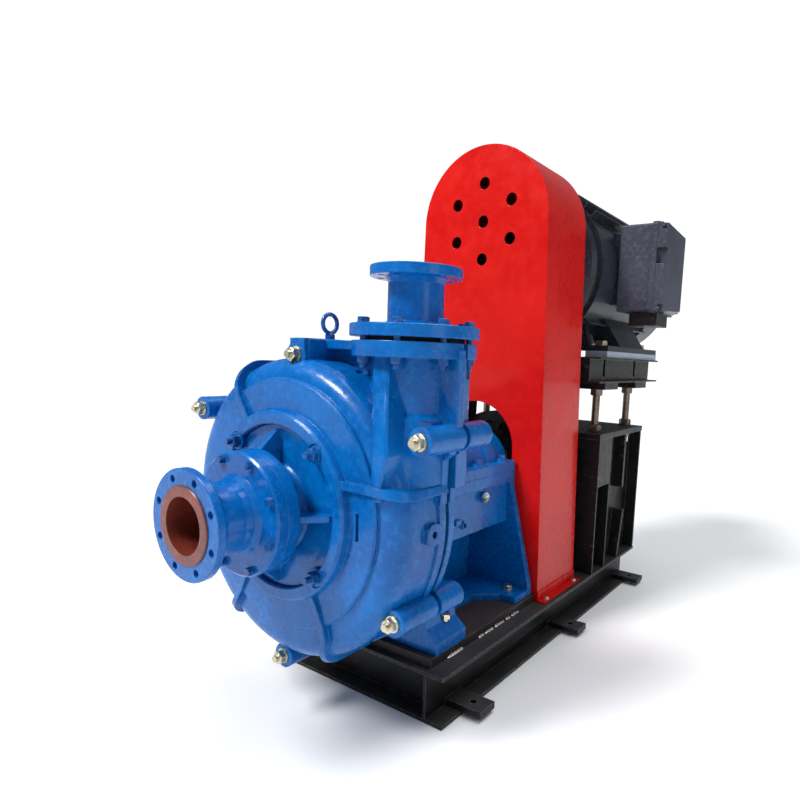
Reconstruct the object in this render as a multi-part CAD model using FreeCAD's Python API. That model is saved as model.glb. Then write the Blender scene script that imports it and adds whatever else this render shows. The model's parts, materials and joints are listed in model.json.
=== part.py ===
import FreeCAD, Part
import math
import os
from FreeCAD import Vector as V

os.makedirs("parts", exist_ok=True)

# Belt driven horizontal slurry pump set on a welded channel skid.
# Millimetres.  X = 0 is the vertical plane of the pump shaft, Y = 0 is the
# middle of the skid's length, Z = 0 is the floor.  The suction faces -Y, the
# discharge points +Z, the motor sits above the drive end (+Y).

# ---------------------------------------------------------------- dimensions
ZS = 605.0            # pump shaft axis above the floor
# suction branch, DN125 PN16
Y_SUC = -1234.0       # suction flange face
SUC_OD, SUC_PCD, SUC_HOLE, SUC_BORE = 250.0, 210.0, 18.0, 128.0
SUC_T = 18.0
DRUM_R = 148.0        # bolted flange of the suction spool
Y_DRUM = -1108.0      # its front face
Y_DRUM_SPLIT = -1080.0
Y_DRUM_BACK = -1050.0
DRUM_BOLT_R = 138.0 - 4.0
# front cover ring and disc
RING_RO, RING_RI = 236.5, 203.0
Y_RING = -1006.0
COVER_STUD_R = 208.0
# volute casing
XB, ZB = -9.0, 584.0  # centre of the volute body, slightly off the shaft
RB = 384.0            # its outer radius
WALL = 20.0
Y_FACE = -976.0       # front face of the casing body
Y_PF = -809.0         # back of the front parting flange
Y_PR = -793.0         # front of the rear parting flange
PF_T, PR_T = 24.0, 20.0           # parting flange thickness
PF_R = 389.0          # parting flange radius
Y_BACK = -642.0       # rear wall of the rear casing
# discharge branch, DN100 PN16
XD, YD = 264.5, -801.0
Z_CF = 1016.0         # top of the split casing flange
CF_R, CF_T = 150.0, 36.0
Z_AF = 1055.0         # top of the spool's lower flange
AF_R, AF_T = 155.5, 29.0
Z_DIS = 1190.0        # discharge flange face
DIS_OD, DIS_PCD, DIS_HOLE, DIS_BORE = 220.0, 180.0, 18.0, 100.0
DIS_T = 24.0
DBOLT_R = 133.0
# casing through bolts (x, z)
LUGS = [(399.0, 801.0), (0.0, 977.0), (-402.0, 812.0), (-408.0, 405.0), (-50.0, 174.0), (333.0, 373.0)]
LUG_R = 33.0
Y_LUG = -938.0        # front end of the lugs
Y_LUG_BACK = -700.0
# bearing bracket
BR_X = 180.0
BR_Y0, BR_Y1 = -618.0, -141.0
Z_SPLIT = ZS
FL_H = 34.0           # each half of the split housing flange
BOX_X, BOX_Z = 163.0, 424.0
HOUS_R = 150.0
BASE_Z0, BASE_T = 172.0, 22.0
# pump shaft
SH_R_BRG, SH_R_IMP, SH_R_PUL = 45.0, 35.0, 37.5
# belt drive
PUL_Y0, PUL_Y1 = -10.0, 128.0
N_BELT, BELT_PITCH = 5, 25.5
PUMP_PD, MOT_PD = 355.0, 280.0
# guard
G_Y0, G_Y1 = -131.0, 166.0
G_T = 4.0
G_ZC, G_R = 1457.0, 255.0
G_WB, G_Z0 = 289.0, 146.0
G_HEX, G_HOLE = 128.0, 21.0
CUT_R, CUT_Z = 160.0, 672.0
# skid
SK_L, SK_W, SK_H = 1470.0, 668.0, 146.0
CH_B, CH_TW, CH_TF = 65.0, 8.0, 10.0
DECK_X, DECK_Y0, DECK_Y1, DECK_Z = 276.0, -713.0, -136.0, 172.0
LUG_Y = [-610.0, 25.0, 660.0]
LUG_W, LUG_OUT, LUG_T, LUG_HOLE = 72.0, 65.0, 20.0, 20.0
LUG_HX = SK_W / 2 + 17.0
# motor stand
ST_X, ST_Y0, ST_Y1, ST_Z1, ST_PT = 334.0, 242.0, 735.0, 711.0, 22.0
ROD_X, ROD_Y = 262.0, (351.0, 704.0)
ROD_R = 15.0
# motor platform
PL_X, PL_Y0, PL_Y1, PL_Z0, PL_Z1 = 330.0, 208.0, 904.0, 909.0, 1007.0
PAD_Z0 = 882.0
BP_Z1 = 1032.0
# motor, shaft height 315
M_H = 315.0
ZM = BP_Z1 + M_H
M_SH_Y = 172.0        # shaft shoulder
M_A, M_B, M_C = 508.0, 457.0, 216.0
M_R, M_FIN = 292.0, 325.0
M_Y0, M_Y1 = 262.0, 940.0
TB = (296.0, 398.0, 1188.0, 482.0, 672.0, 1532.0)


# ------------------------------------------------------------------- helpers
def box(x0, y0, z0, x1, y1, z1):
    return Part.makeBox(x1 - x0, y1 - y0, z1 - z0, V(x0, y0, z0))


def cyl(r, p, d, h):
    return Part.makeCylinder(r, h, V(*p), V(*d))


def cy(r, y0, y1, x=0.0, z=ZS):
    return Part.makeCylinder(r, y1 - y0, V(x, y0, z), V(0, 1, 0))


def cz(r, x, y, z0, z1):
    return Part.makeCylinder(r, z1 - z0, V(x, y, z0), V(0, 0, 1))


def tuby(ro, ri, y0, y1, x=0.0, z=ZS):
    return cy(ro, y0, y1, x, z).cut(cy(ri, y0 - 1, y1 + 1, x, z))


def poly_face(pts):
    w = Part.makePolygon(pts + [pts[0]])
    return Part.Face(w)


def prism_y(pts, y0, y1):
    return poly_face([V(a, y0, b) for a, b in pts]).extrude(V(0, y1 - y0, 0))


def prism_x(pts, x0, x1):
    return poly_face([V(x0, a, b) for a, b in pts]).extrude(V(x1 - x0, 0, 0))


def prism_z(pts, z0, z1):
    return poly_face([V(a, b, z0) for a, b in pts]).extrude(V(0, 0, z1 - z0))


def wire_from(segs, make):
    """segs: list of points, a tuple of three points is an arc start/mid/end."""
    edges = []
    for s in segs:
        if len(s) == 3:
            edges.append(Part.Arc(make(s[0]), make(s[1]), make(s[2])).toShape())
        else:
            edges.append(Part.LineSegment(make(s[0]), make(s[1])).toShape())
    return Part.Wire(edges)


def corner_arc(c, r, a0, a1):
    am = 0.5 * (a0 + a1)
    f = lambda a: (c[0] + r * math.cos(math.radians(a)), c[1] + r * math.sin(math.radians(a)))
    return (f(a0), f(am), f(a1))


def rev_y(segs, x=0.0, z=ZS):
    """Revolve a closed (r, y) outline about the line through (x, z) along Y."""
    w = wire_from(segs, lambda p: V(x + p[0], p[1], z))
    return Part.Face(w).revolve(V(x, 0, z), V(0, 1, 0), 360)


def rev_y_poly(pts, x=0.0, z=ZS):
    f = poly_face([V(x + r, y, z) for r, y in pts])
    return f.revolve(V(x, 0, z), V(0, 1, 0), 360)


def rev_z_poly(pts, x, y):
    f = poly_face([V(x + r, y, z) for r, z in pts])
    return f.revolve(V(x, y, 0), V(0, 0, 1), 360)


def hexa(af, p, d, h, rot=0.0):
    """Hexagon prism from p along d."""
    d = V(*d).normalize() if hasattr(V(*d), "normalize") else V(*d)
    r = af / math.sqrt(3.0)
    up = V(0, 0, 1) if abs(d.z) < 0.9 else V(1, 0, 0)
    e1 = d.cross(up).normalize()
    e2 = d.cross(e1).normalize()
    pts = []
    for k in range(6):
        a = math.radians(60 * k + 30 + rot)
        pts.append(V(*p) + e1 * (r * math.cos(a)) + e2 * (r * math.sin(a)))
    return poly_face(pts).extrude(d * h)


def hex_head(af, p, d, h, rot=0.0):
    """Hexagon with its outer corners turned off."""
    s = hexa(af, p, d, h, rot)
    dd = V(*d).normalize()
    rc = af / math.sqrt(3.0)
    c1 = Part.makeCylinder(rc + 0.5, h * 0.82, V(*p), dd)
    top = Part.makeCone(rc + 0.5, af * 0.46, h * 0.18, V(*p) + dd * (h * 0.82), dd)
    return s.common(c1.fuse(top))


def fuse(lst):
    s = lst[0]
    if len(lst) > 1:
        s = s.fuse(lst[1:])
    return s


def cutall(s, lst):
    return s.cut(lst) if lst else s


def clean(s):
    try:
        r = s.removeSplitter()
        if r.isValid():
            return r
    except Exception:
        pass
    return s


def mir(s):
    return s.mirror(V(0, 0, 0), V(1, 0, 0))


def fillet_try(s, edges, r):
    try:
        f = s.makeFillet(r, edges)
        if f.isValid() and f.Volume > 0:
            return f
    except Exception:
        pass
    return s


def circ_edges(s, r, tol=0.05, axis=None, where=None):
    out = []
    for e in s.Edges:
        c = e.Curve
        if isinstance(c, Part.Circle) and abs(c.Radius - r) < tol:
            if where is None or where(c.Center):
                out.append(e)
    return out


NODES = {}


def put(name, shapes, tidy=True):
    if not isinstance(shapes, (list, tuple)):
        shapes = [shapes]
    sol = []
    for s in shapes:
        if tidy:
            s = clean(s)
        sol += s.Solids
    out = sol[0] if len(sol) == 1 else Part.makeCompound(sol)
    bad = [i for i, q in enumerate(sol) if not q.isValid() or q.Volume <= 0]
    if bad:
        print("INVALID", name, bad)
    NODES[name] = out
    out.exportStep("parts/%s.step" % name)
    bb = out.BoundBox
    print("%-26s solids %2d vol %10.0f  x %.0f..%.0f y %.0f..%.0f z %.0f..%.0f" % (
        name, len(sol), out.Volume, bb.XMin, bb.XMax, bb.YMin, bb.YMax, bb.ZMin, bb.ZMax))
    return out


def polar(r, a, z0=ZS):
    return (r * math.cos(math.radians(a)), z0 + r * math.sin(math.radians(a)))


OCT = [22.5 + 45 * k for k in range(8)]

# ============================================================ SUCTION BRANCH
pts = [(SUC_BORE / 2 + 8, Y_SUC), (SUC_OD / 2 - 1.5, Y_SUC), (SUC_OD / 2, Y_SUC + 1.5), (SUC_OD / 2, Y_SUC + SUC_T - 1.5),
       (SUC_OD / 2 - 1.5, Y_SUC + SUC_T), (93, Y_SUC + SUC_T), (86, Y_SUC + SUC_T + 8), (83, Y_SUC + 50), (83, Y_DRUM - 32),
       (86, Y_DRUM - 14), (95, Y_DRUM), (DRUM_R - 5, Y_DRUM), (DRUM_R, Y_DRUM + 5), (DRUM_R, Y_DRUM_SPLIT), (SUC_BORE / 2 + 8, Y_DRUM_SPLIT)]
spool = rev_y_poly(pts)
holes = []
for a in OCT:
    x, z = polar(SUC_PCD / 2, a)
    holes.append(cy(SUC_HOLE / 2, Y_SUC - 2, Y_SUC + SUC_T + 2, x, z))
    x, z = polar(DRUM_BOLT_R, a)
    holes.append(cy(7.0, Y_DRUM - 2, Y_DRUM_SPLIT + 2, x, z))
put("suction_spool", spool.cut(holes))

# wear sleeve with a raised collar showing at the flange face
pts = [(SUC_BORE / 2, Y_SUC - 4), (86, Y_SUC - 4), (88, Y_SUC - 2), (88, Y_SUC), (SUC_BORE / 2 + 8, Y_SUC), (SUC_BORE / 2 + 8, -1012),
       (SUC_BORE / 2, -1012)]
put("suction_liner", rev_y_poly(pts))

bl = []
for a in OCT:
    x, z = polar(DRUM_BOLT_R, a)
    b = cy(6.0, Y_DRUM - 8, Y_DRUM_SPLIT + 22, x, z)
    b = b.fuse([cy(10.5, Y_DRUM - 2.5, Y_DRUM, x, z), hex_head(18, (x, Y_DRUM - 2.5, z), (0, -1, 0), 10, rot=a * 3)])
    bl.append(b)
put("suction_bolts", bl)

# ============================================================= SUCTION COVER
# dished disc carrying the drum, four stud ears and four gussets
pts = [(SUC_BORE / 2 + 8.5, Y_DRUM_SPLIT + 0.0), (DRUM_R, Y_DRUM_SPLIT), (DRUM_R, Y_DRUM_BACK + 2), (DRUM_R - 4, Y_DRUM_BACK + 6),
       (100, Y_DRUM_BACK + 6), (96, -1030), (106, -998), (112, -993), (170, -990), (196, -992), (RING_RI - 1, -992), (RING_RI - 1, -952), (SUC_BORE / 2 + 8.5, -952)]
cover = rev_y_poly(pts)
parts = []
for a in (90, 0, 180, 270):
    t = 14.0
    g = prism_x([(Y_DRUM_BACK + 3, 88), (Y_DRUM_BACK + 3, 146), (-1000, 190), (-980, 190), (-980, 96)], -t / 2, t / 2)
    g.translate(V(0, 0, ZS))
    g.rotate(V(0, 0, ZS), V(0, 1, 0), 90 - a)
    parts.append(g)
ears = []
for a in (45, 135, 225, 315):
    x, z = polar(COVER_STUD_R, a)
    ears.append(cy(23.0, -1004, -960, x, z))
cover = cover.fuse(parts + ears)
hs = [cy(9.0, -1010, -950, *polar(COVER_STUD_R, a)) for a in (45, 135, 225, 315)]
hs += [cy(6.05, Y_DRUM_SPLIT - 1, Y_DRUM_SPLIT + 24, *polar(DRUM_BOLT_R, a)) for a in OCT]
hs += [cy(SUC_BORE / 2 + 8.5, -1090, -940), cy(SUC_BORE / 2 + 14.3, -1011.5, -940)]
put("suction_cover", cover.cut(hs))

st = []
for a in (45, 135, 225, 315):
    x, z = polar(COVER_STUD_R, a)
    s = cy(8.0, -1036, -958, x, z)
    s = s.fuse([cy(17.0, -1007.5, -1004, x, z), hex_head(30, (x, -1007.5, z), (0, -1, 0), 15, rot=a), ])
    st.append(s)
put("cover_studs", st)

# ============================================================== FRONT CASING
def body_outer(off, y_end, yface):
    """Outer outline of a casing half, grown outwards by off."""
    r = RB + off
    yf = yface - off
    rc = 50.0 + off
    segs = [((0.0, yf), (236.0, yf)), ((236.0, yf), (r - rc, yf + 6.0)),
            ((r - rc, yf + 6.0), (r - rc + rc * math.sin(math.radians(45)), yf + 6.0 + rc * (1 - math.cos(math.radians(45)))), (r, yf + 6.0 + rc)),
            ((r, yf + 6.0 + rc), (r, y_end)), ((r, y_end), (0.0, y_end)), ((0.0, y_end), (0.0, yf))]
    return rev_y(segs, XB, ZB)


outer = body_outer(0.0, Y_PF, Y_FACE)
inner = body_outer(-WALL, Y_PF + 30, Y_FACE)
rib_env = body_outer(15.0, Y_PF - 2, Y_FACE)
rib_high = body_outer(20.0, Y_PF - 2, Y_FACE)

ring = rev_y_poly([(RING_RI, Y_RING + 4), (RING_RI + 3, Y_RING), (RING_RO - 6, Y_RING), (RING_RO, Y_RING + 6), (RING_RO + 6, Y_FACE + 4), (RING_RI, Y_FACE + 4)])
pad = rev_y_poly([(200, Y_FACE - 6), (311, Y_FACE - 6), (315, Y_FACE - 2), (315, Y_FACE + 14), (200, Y_FACE + 14)])


def flange_plate(y0, y1, xr=420.0, off=0.0):
    a = cy(PF_R - off, y0, y1, XB, ZB)
    b = prism_y([(150, 640), (150, 1000), (170, 1014), (xr - 15, 1014), (xr, 1000), (xr, 830), (402 - off, 762), (383 - off, 746), (380 - off, 640)], y0, y1)
    c = prism_y([(-34, 900), (-34, 990), (-24, 1000), (160, 1000), (160, 860)], y0, y1)
    return a.fuse([b, c])


def neck_bay(d, y0, z0=676.0, z1=1000.0, xr=408.0):
    """Rounded rectangular throat wall of the rear half, d is its outermost Y."""
    w = d - y0
    pts = [(174, y0), (178, y0 + w * 0.50), (196, y0 + w * 0.86), (222, d), (xr - 26, d), (xr - 8, y0 + w * 0.88), (xr + 4, y0 + w * 0.62), (xr + 8, y0)]
    return prism_z(pts, z0, z1)


def loft_z(sections):
    """Straight sided solid through horizontal outlines given as (z, [(x, y), ...])."""
    ws = [Part.makePolygon([V(a, b, z) for a, b in q + [q[0]]]) for z, q in sections]
    return Part.makeLoft(ws, True, True)


def neck_front():
    """Front wall of the discharge throat: a round duct over a wider shoulder
    with one upright rib blending into the casing face."""
    duct = cz(104.0, XD, YD, 700.0, Z_CF - 8.0)
    ledge = Part.makeCone(118.0, 104.0, 12.0, V(XD, YD, 842.0), V(0, 0, 1)).fuse(cz(118.0, XD, YD, 800.0, 842.0))
    low = loft_z([
        (664.0, [(260, -900), (300, -945), (345, -944), (360, -922), (367, -898), (370, -868), (371, -833), (371, Y_PF), (260, Y_PF)]),
        (690.0, [(260, -900), (300, -950), (350, -949), (366, -926), (373, -900), (377, -870), (379, -833), (379, Y_PF), (260, Y_PF)]),
        (764.0, [(250, -900), (285, -950), (316, -955), (342, -936), (362, -908), (373, -875), (378, -833), (378, Y_PF), (250, Y_PF)]),
        (843.0, [(240, -880), (275, -919), (300, -913), (325, -902), (348, -884), (366, -858), (374, -833), (376, Y_PF), (240, Y_PF)])])
    sec = []
    for z, yf, xl, xr in ((664, -984, 295, 327), (700, -986, 295, 328), (766, -982, 291, 343), (798, -976, 286, 337), (829, -967, 277, 329),
                          (860, -955, 266, 318), (900, -938, 250, 303), (985, -918, 230, 285)):
        sec.append((float(z), [(xl + 8, yf + 60), (xl, yf + 14), (xl + 4, yf + 5), (xl + 13, yf), (xr - 6, yf), (xr, yf + 5), (xr, yf + 60)]))
    left = prism_z([(184, Y_PF), (186, -846), (196, -872), (214, -888), (240, -896), (250, Y_PF)], 700.0, 985.0)
    return [duct, ledge, low, loft_z(sec), left]


def lug_solids(y0, y1):
    out = []
    for (x, z) in LUGS:
        s = cy(LUG_R, y0, y1, x, z)
        out.append(s)
        # web tying the lug back to the body
        dx, dz = XB - x, ZB - z
        L = math.hypot(dx, dz)
        ux, uz = dx / L, dz / L
        px, pz = -uz, ux
        w = 15.0
        inn = L - (RB - 10)
        q = [(x + px * w, z + pz * w), (x + ux * inn + px * (w + 4), z + uz * inn + pz * (w + 4)),
             (x + ux * inn - px * (w + 4), z + uz * inn - pz * (w + 4)), (x - px * w, z - pz * w)]
        if x > 300 and z > 700:
            continue
        out.append(prism_y(q, y0 + 30 if y0 < -850 else y0, y1 if y0 < -850 else y1 - 26))
    return out


def slab_poly(center, width, y0, y1):
    """A curved rib: strip of the given width along a list of (x, z) points."""
    left, right = [], []
    n = len(center)
    for i, (x, z) in enumerate(center):
        a = center[max(i - 1, 0)]
        b = center[min(i + 1, n - 1)]
        dx, dz = b[0] - a[0], b[1] - a[1]
        L = math.hypot(dx, dz)
        nx, nz = -dz / L, dx / L
        left.append((x + nx * width / 2, z + nz * width / 2))
        right.append((x - nx * width / 2, z - nz * width / 2))
    return prism_y(left + right[::-1], y0, y1)


ribs = []
RIB_LINES = [
    ([(172, 684), (212, 688), (246, 689), (287, 688), (327, 686), (352, 683), (372, 679), (410, 677)], 20.0),
    ([(-118, 806), (-140, 834), (-160, 862), (-172, 895), (-176, 930), (-170, 965)], 15.0),
    ([(102, 420), (126, 376), (148, 328), (153, 290), (140, 240), (130, 180)], 15.0),
    ([(-136, 402), (-163, 352), (-196, 304), (-222, 264), (-234, 236), (-236, 200)], 15.0),
]
for line, w in RIB_LINES:
    ribs.append(slab_poly(line, w, -1010, Y_PF - 1).common(rib_high if line[0][1] > 600 else rib_env))

side_boss = cyl(27.0, (330, -858, 576), (1, 0, 0), 56).fuse(box(330, -885, 558, 384, -833, 594))
top_block = prism_y([(-24, 950), (-30, 966), (-30, 1006), (-26, 1014), (-18, 1018), (30, 1018), (34, 1014), (34, 962), (28, 950)], -926, Y_PF)
top_block = top_block.fuse([cy(LUG_R, Y_LUG, -900, 0, 977), box(-22, Y_LUG, 985, 30, -900, 1017),
                            prism_y([(-30, 966), (-48, 930), (48, 930), (34, 966)], -905, Y_PF),
                            box(20, -872, 994, 175, Y_PF, 1015.5)])
front_flange = cz(CF_R, XD, YD, Z_CF - CF_T, Z_CF)
front_half = box(-700, -1300, 0, 700, Y_PF, 1300)
EYE_X, EYE_Y = 4.0, -832.0
fr = outer.fuse([ring, pad, flange_plate(Y_PF - PF_T, Y_PF), front_flange, side_boss, top_block] + neck_front() + lug_solids(Y_LUG, Y_PF) + ribs)
fr = fr.common(front_half)
cuts = [inner, cy(RING_RI, -1100, Y_PF + 5), cz(65.0, XD, YD, 700, 1100), box(254, Y_FACE - 10, 563, 264, Y_FACE + 8, 628),
        cyl(9.0, (362, -858, 576), (1, 0, 0), 100), cyl(8.0, (EYE_X, EYE_Y, 1000), (0, 0, 1), 40)]
cuts += [cy(9.5, Y_LUG - 5, Y_PF + 5, x, z) for (x, z) in LUGS]
cuts += [cy(8.1, -1010, -940, *polar(COVER_STUD_R, a)) for a in (45, 135, 225, 315)]
cuts += [cy(24.0, -1012, -958, *polar(COVER_STUD_R, a)) for a in (45, 135, 225, 315)]
dbolts = [(XD + DBOLT_R * math.cos(math.radians(a)), YD + DBOLT_R * math.sin(math.radians(a))) for a in OCT]
cuts += [cz(9.0, x, y, 936, 1100) for (x, y) in dbolts]
# spot faces under the nuts of the discharge flange and in front of the lugs
cuts += [cz(16.5, x, y, 936, Z_CF - CF_T) for (x, y) in dbolts]
cuts += [cy(21.0, -975, Y_LUG, x, z) for (x, z) in LUGS]
fr = fr.cut(cuts)
put("front_casing", fr)

# =============================================================== REAR CASING
def rear_outer(off):
    """Outline of the rear half: it draws in right behind the parting flange."""
    pts = [(0.0, Y_PR), (384.0 + off, Y_PR), (384.0 + off, -776.0), (366.0 + off, -750.0), (332.0 + off, -704.0), (294.0 + off * 0.9, -664.0 + off * 0.5),
           (256.0 + off, Y_BACK + off), (0.0, Y_BACK + off)]
    return rev_y_poly(pts, XB, ZB)


ro = rear_outer(0.0)
ri = rear_outer(-WALL)
# the feet stand on the deck, tied by a web across the back
foot = prism_y([(276, BASE_Z0), (276, 206), (238, 236), (214, 330), (120, 330), (150, BASE_Z0)], -690, -552)
foot_tie = prism_y([(150, BASE_Z0), (150, 300), (-150, 300), (-150, BASE_Z0)], -690, -655)
rear_half = box(-700, Y_PR, 0, 700, -500, 1300)
back_plate = cy(232.0, Y_BACK - 30, Y_BACK + 22)
rc_s = ro.fuse([flange_plate(Y_PR, Y_PR + PR_T, 398.0, 2.0), neck_bay(-716, Y_PR, 676.0, 1000.0, 384.0), front_flange, foot, mir(foot), foot_tie, back_plate,
                box(-32, Y_PR, 955, 32, Y_LUG_BACK, 1018)] + lug_solids(Y_PR, Y_LUG_BACK))
rc_s = rc_s.common(rear_half)
cuts = [box(-100, -740, 100, 0, -600, 146.4), box(-154, -618.5, 171, 154, -593.5, 335)]
cuts += [cz(20.0, sx * 235, -600, 239.9, 330) for sx in (-1, 1)] + [cy(21.0, Y_LUG_BACK, Y_LUG_BACK + 60, x, z) for (x, z) in LUGS]
cuts += [cz(16.5, x, y, 936, Z_CF - CF_T) for (x, y) in dbolts]
cuts += [ri, cz(65.0, XD, YD, 700, 1100), cy(151.0, Y_PR - 5, Y_BACK + 60)]
cuts += [cy(9.5, Y_PR - 5, Y_LUG_BACK + 5, x, z) for (x, z) in LUGS]
cuts += [cz(9.0, x, y, 936, 1100) for (x, y) in dbolts]
cuts += [cz(10.0, sx * 235, -600, 160, 260) for sx in (-1, 1)]
put("rear_casing", rc_s.cut(cuts))

# seal between the two halves, set back from their edge
gas = cy(PF_R - 9, Y_PF + 1, Y_PR - 1, XB, ZB).fuse([
    prism_y([(159, 640), (159, 1004), (388, 1004), (388, 760), (372, 740), (370, 640)], Y_PF + 1, Y_PR - 1),
    prism_y([(-25, 900), (-25, 991), (162, 991), (162, 860)], Y_PF + 1, Y_PR - 1)])
gas = gas.cut([cy(RB - WALL + 1, -830, -780, XB, ZB), cz(65.5, XD, YD, 700, 1100)] + [cy(32.0, -830, -780, x, z) for (x, z) in LUGS])
put("casing_gasket", [gas, rev_z_poly([(65.2, Z_CF + 0.2), (CF_R - 30, Z_CF + 0.2), (CF_R - 30, Z_CF + 9.8), (65.2, Z_CF + 9.8)], XD, YD).cut([cz(9.2, x, y, Z_CF - 5, Z_CF + 15) for (x, y) in dbolts])])

bl = []
for i, (x, z) in enumerate(LUGS):
    b = cy(9.0, Y_LUG - 30, Y_LUG_BACK + 4, x, z)
    b = b.fuse([cy(20.0, Y_LUG - 4, Y_LUG, x, z), hex_head(32, (x, Y_LUG - 4, z), (0, -1, 0), 17, rot=13 * i),
                cy(20.0, Y_LUG_BACK, Y_LUG_BACK + 4, x, z), hex_head(32, (x, Y_LUG_BACK + 4, z), (0, 1, 0), 14, rot=17 * i)])
    bl.append(b)
put("casing_bolts", bl)

# lifting eye on the top lug
eye = Part.makeTorus(24.0, 5.5, V(EYE_X, EYE_Y, 1058), V(1, 0, 0))
eye = eye.fuse([cz(12.5, EYE_X, EYE_Y, 1018, 1029), Part.makeCone(12.5, 7.0, 8, V(EYE_X, EYE_Y, 1029), V(0, 0, 1)), cz(7.5, EYE_X, EYE_Y, 1002, 1020)])
put("eye_bolt", eye)

# ==================================================================== LINERS
# wear volute: shell inside the casing with its own discharge throat
lo = rev_y([((0.0, -926.0), (270.0, -926.0)), ((270.0, -926.0), (270 + 74 * math.sin(math.radians(45)), -926 + 74 * (1 - math.cos(math.radians(45)))), (344.0, -852.0)),
            ((344.0, -852.0), (344.0, -768.0)), ((344.0, -768.0), (310.0, -716.0)), ((310.0, -716.0), (274.0, -680.0)), ((274.0, -680.0), (250.0, -668.0)),
            ((250.0, -668.0), (0.0, -668.0)), ((0.0, -668.0), (0.0, -926.0))], XB, ZB)
lo = lo.fuse(cz(64.7, XD, YD, 700, Z_CF + 9))
li = rev_y([((0.0, -900.0), (250.0, -900.0)), ((250.0, -900.0), (250 + 68 * math.sin(math.radians(45)), -900 + 68 * (1 - math.cos(math.radians(45)))), (318.0, -832.0)),
            ((318.0, -832.0), (318.0, -774.0)), ((318.0, -774.0), (296.0, -732.0)), ((296.0, -732.0), (268.0, -702.0)), ((268.0, -702.0), (246.0, -694.0)),
            ((246.0, -694.0), (0.0, -694.0)), ((0.0, -694.0), (0.0, -900.0))], XB, ZB)
li = li.fuse(cz(DIS_BORE / 2 + 2, XD, YD, 700, Z_CF + 60))
vl = lo.cut([li, cy(236.0, -960, -860), cy(230.0, -720, -640)])
put("volute_liner", vl)

# throat bush (front wear plate)
EYE_R = SUC_BORE / 2 + 2
tb = rev_y_poly([(EYE_R, -1011), (SUC_BORE / 2 + 14, -1011), (SUC_BORE / 2 + 14, -950), (198, -950), (198, -928), (235, -928), (235, -872), (EYE_R, -862)])
put("front_liner_plate", tb)
# rear wear plate
rp = rev_y_poly([(95, -728), (229, -728), (229, -668), (149, -668), (149, -705), (95, -705)])
put("rear_liner_plate", rp)

# =========================================================== DISCHARGE SPOOL
pts = [(DIS_BORE / 2 + 8, Z_CF + 10), (AF_R - 2, Z_CF + 10), (AF_R, Z_CF + 12), (AF_R, Z_AF - 2), (AF_R - 2, Z_AF), (78, Z_AF), (68, Z_AF + 10),
       (67, Z_DIS - DIS_T - 12), (76, Z_DIS - DIS_T), (DIS_OD / 2 - 1.5, Z_DIS - DIS_T), (DIS_OD / 2, Z_DIS - DIS_T + 1.5), (DIS_OD / 2, Z_DIS - 1.5),
       (DIS_OD / 2 - 1.5, Z_DIS), (DIS_BORE / 2 + 8, Z_DIS)]
sp = rev_z_poly(pts, XD, YD)
hs = [cz(9.0, x, y, Z_CF, Z_AF + 5) for (x, y) in dbolts]
hs += [cz(DIS_HOLE / 2, XD + DIS_PCD / 2 * math.cos(math.radians(a)), YD + DIS_PCD / 2 * math.sin(math.radians(a)), Z_DIS - DIS_T - 3, Z_DIS + 3) for a in OCT]
put("discharge_spool", sp.cut(hs))
dl = rev_z_poly([(DIS_BORE / 2, Z_CF + 9.2), (DIS_BORE / 2 + 8, Z_CF + 9.2), (DIS_BORE / 2 + 8, Z_DIS), (76, Z_DIS), (76, Z_DIS + 3), (DIS_BORE / 2, Z_DIS + 3)], XD, YD)
put("discharge_liner", dl)
bl = []
for i, (x, y) in enumerate(dbolts):
    b = cz(8.0, x, y, Z_CF - CF_T - 26, Z_AF + 8)
    b = b.fuse([cz(15.0, x, y, Z_AF, Z_AF + 2.5), hex_head(24, (x, y, Z_AF + 2.5), (0, 0, 1), 11, rot=11 * i),
                cz(15.0, x, y, Z_CF - CF_T - 2.5, Z_CF - CF_T), hex_head(24, (x, y, Z_CF - CF_T - 2.5), (0, 0, -1), 13, rot=23 * i)])
    bl.append(b)
put("discharge_bolts", bl)

# ============================================================== STUFFING BOX
# expeller chamber and stuffing box in one casting, bolted in the rear casing
sb = rev_y_poly([(94, -704.5), (148.5, -704.5), (148.5, -640), (118, -640), (108, -628), (80, -628), (80, -556), (60, -556), (60, -636), (47, -636), (47, -650), (134, -650), (134, -690), (94, -690)])
pk = []
y = -635.5
for k in range(4):
    if k == 1:
        y += 16.0
    pk.append(tuby(59.7, 46.48, y, y + 12.5))
    y += 13.0
put("packing_rings", pk)
lr = tuby(59.5, 46.9, -622.0, -607.4).cut([cyl(2.5, (0, -614.7, ZS), (math.cos(math.radians(a)), 0, math.sin(math.radians(a))), 80) for a in range(0, 360, 45)])
lr = lr.cut(rev_y_poly([(55.5, -618.5), (61, -618.5), (61, -611), (55.5, -611)]))
put("lantern_ring", lr)
gl = rev_y_poly([(47.4, -566.0), (59.2, -566.0), (59.2, -554.0), (100, -554.0), (100, -542.0), (98, -540.0), (47.4, -540.0)])
gl = gl.cut([box(-110, -560, ZS + 74, 110, -530, ZS + 120), box(-110, -560, ZS - 120, 110, -530, ZS - 74)])
gl = gl.cut([cy(6.6, -560, -535, sx * 84, ZS) for sx in (-1, 1)])
put("packing_gland", gl)
# short lugs on the stuffing box carry the gland studs
sb2 = sb.fuse([cy(12.0, -628.5, -575, sx * 84, ZS).cut(cy(79.0, -640, -560)) for sx in (-1, 1)]).cut([cy(6.05, -600.5, -550, sx * 84, ZS) for sx in (-1, 1)])
put("stuffing_box", sb2)
put("gland_studs", [cy(6.0, -600, -502, sx * 84, ZS) for sx in (-1, 1)])
put("gland_nuts", [hex_head(19, (sx * 84, -540, ZS), (0, 1, 0), 10).cut(cy(6.05, -545, -525, sx * 84, ZS)) for sx in (-1, 1)])

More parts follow.
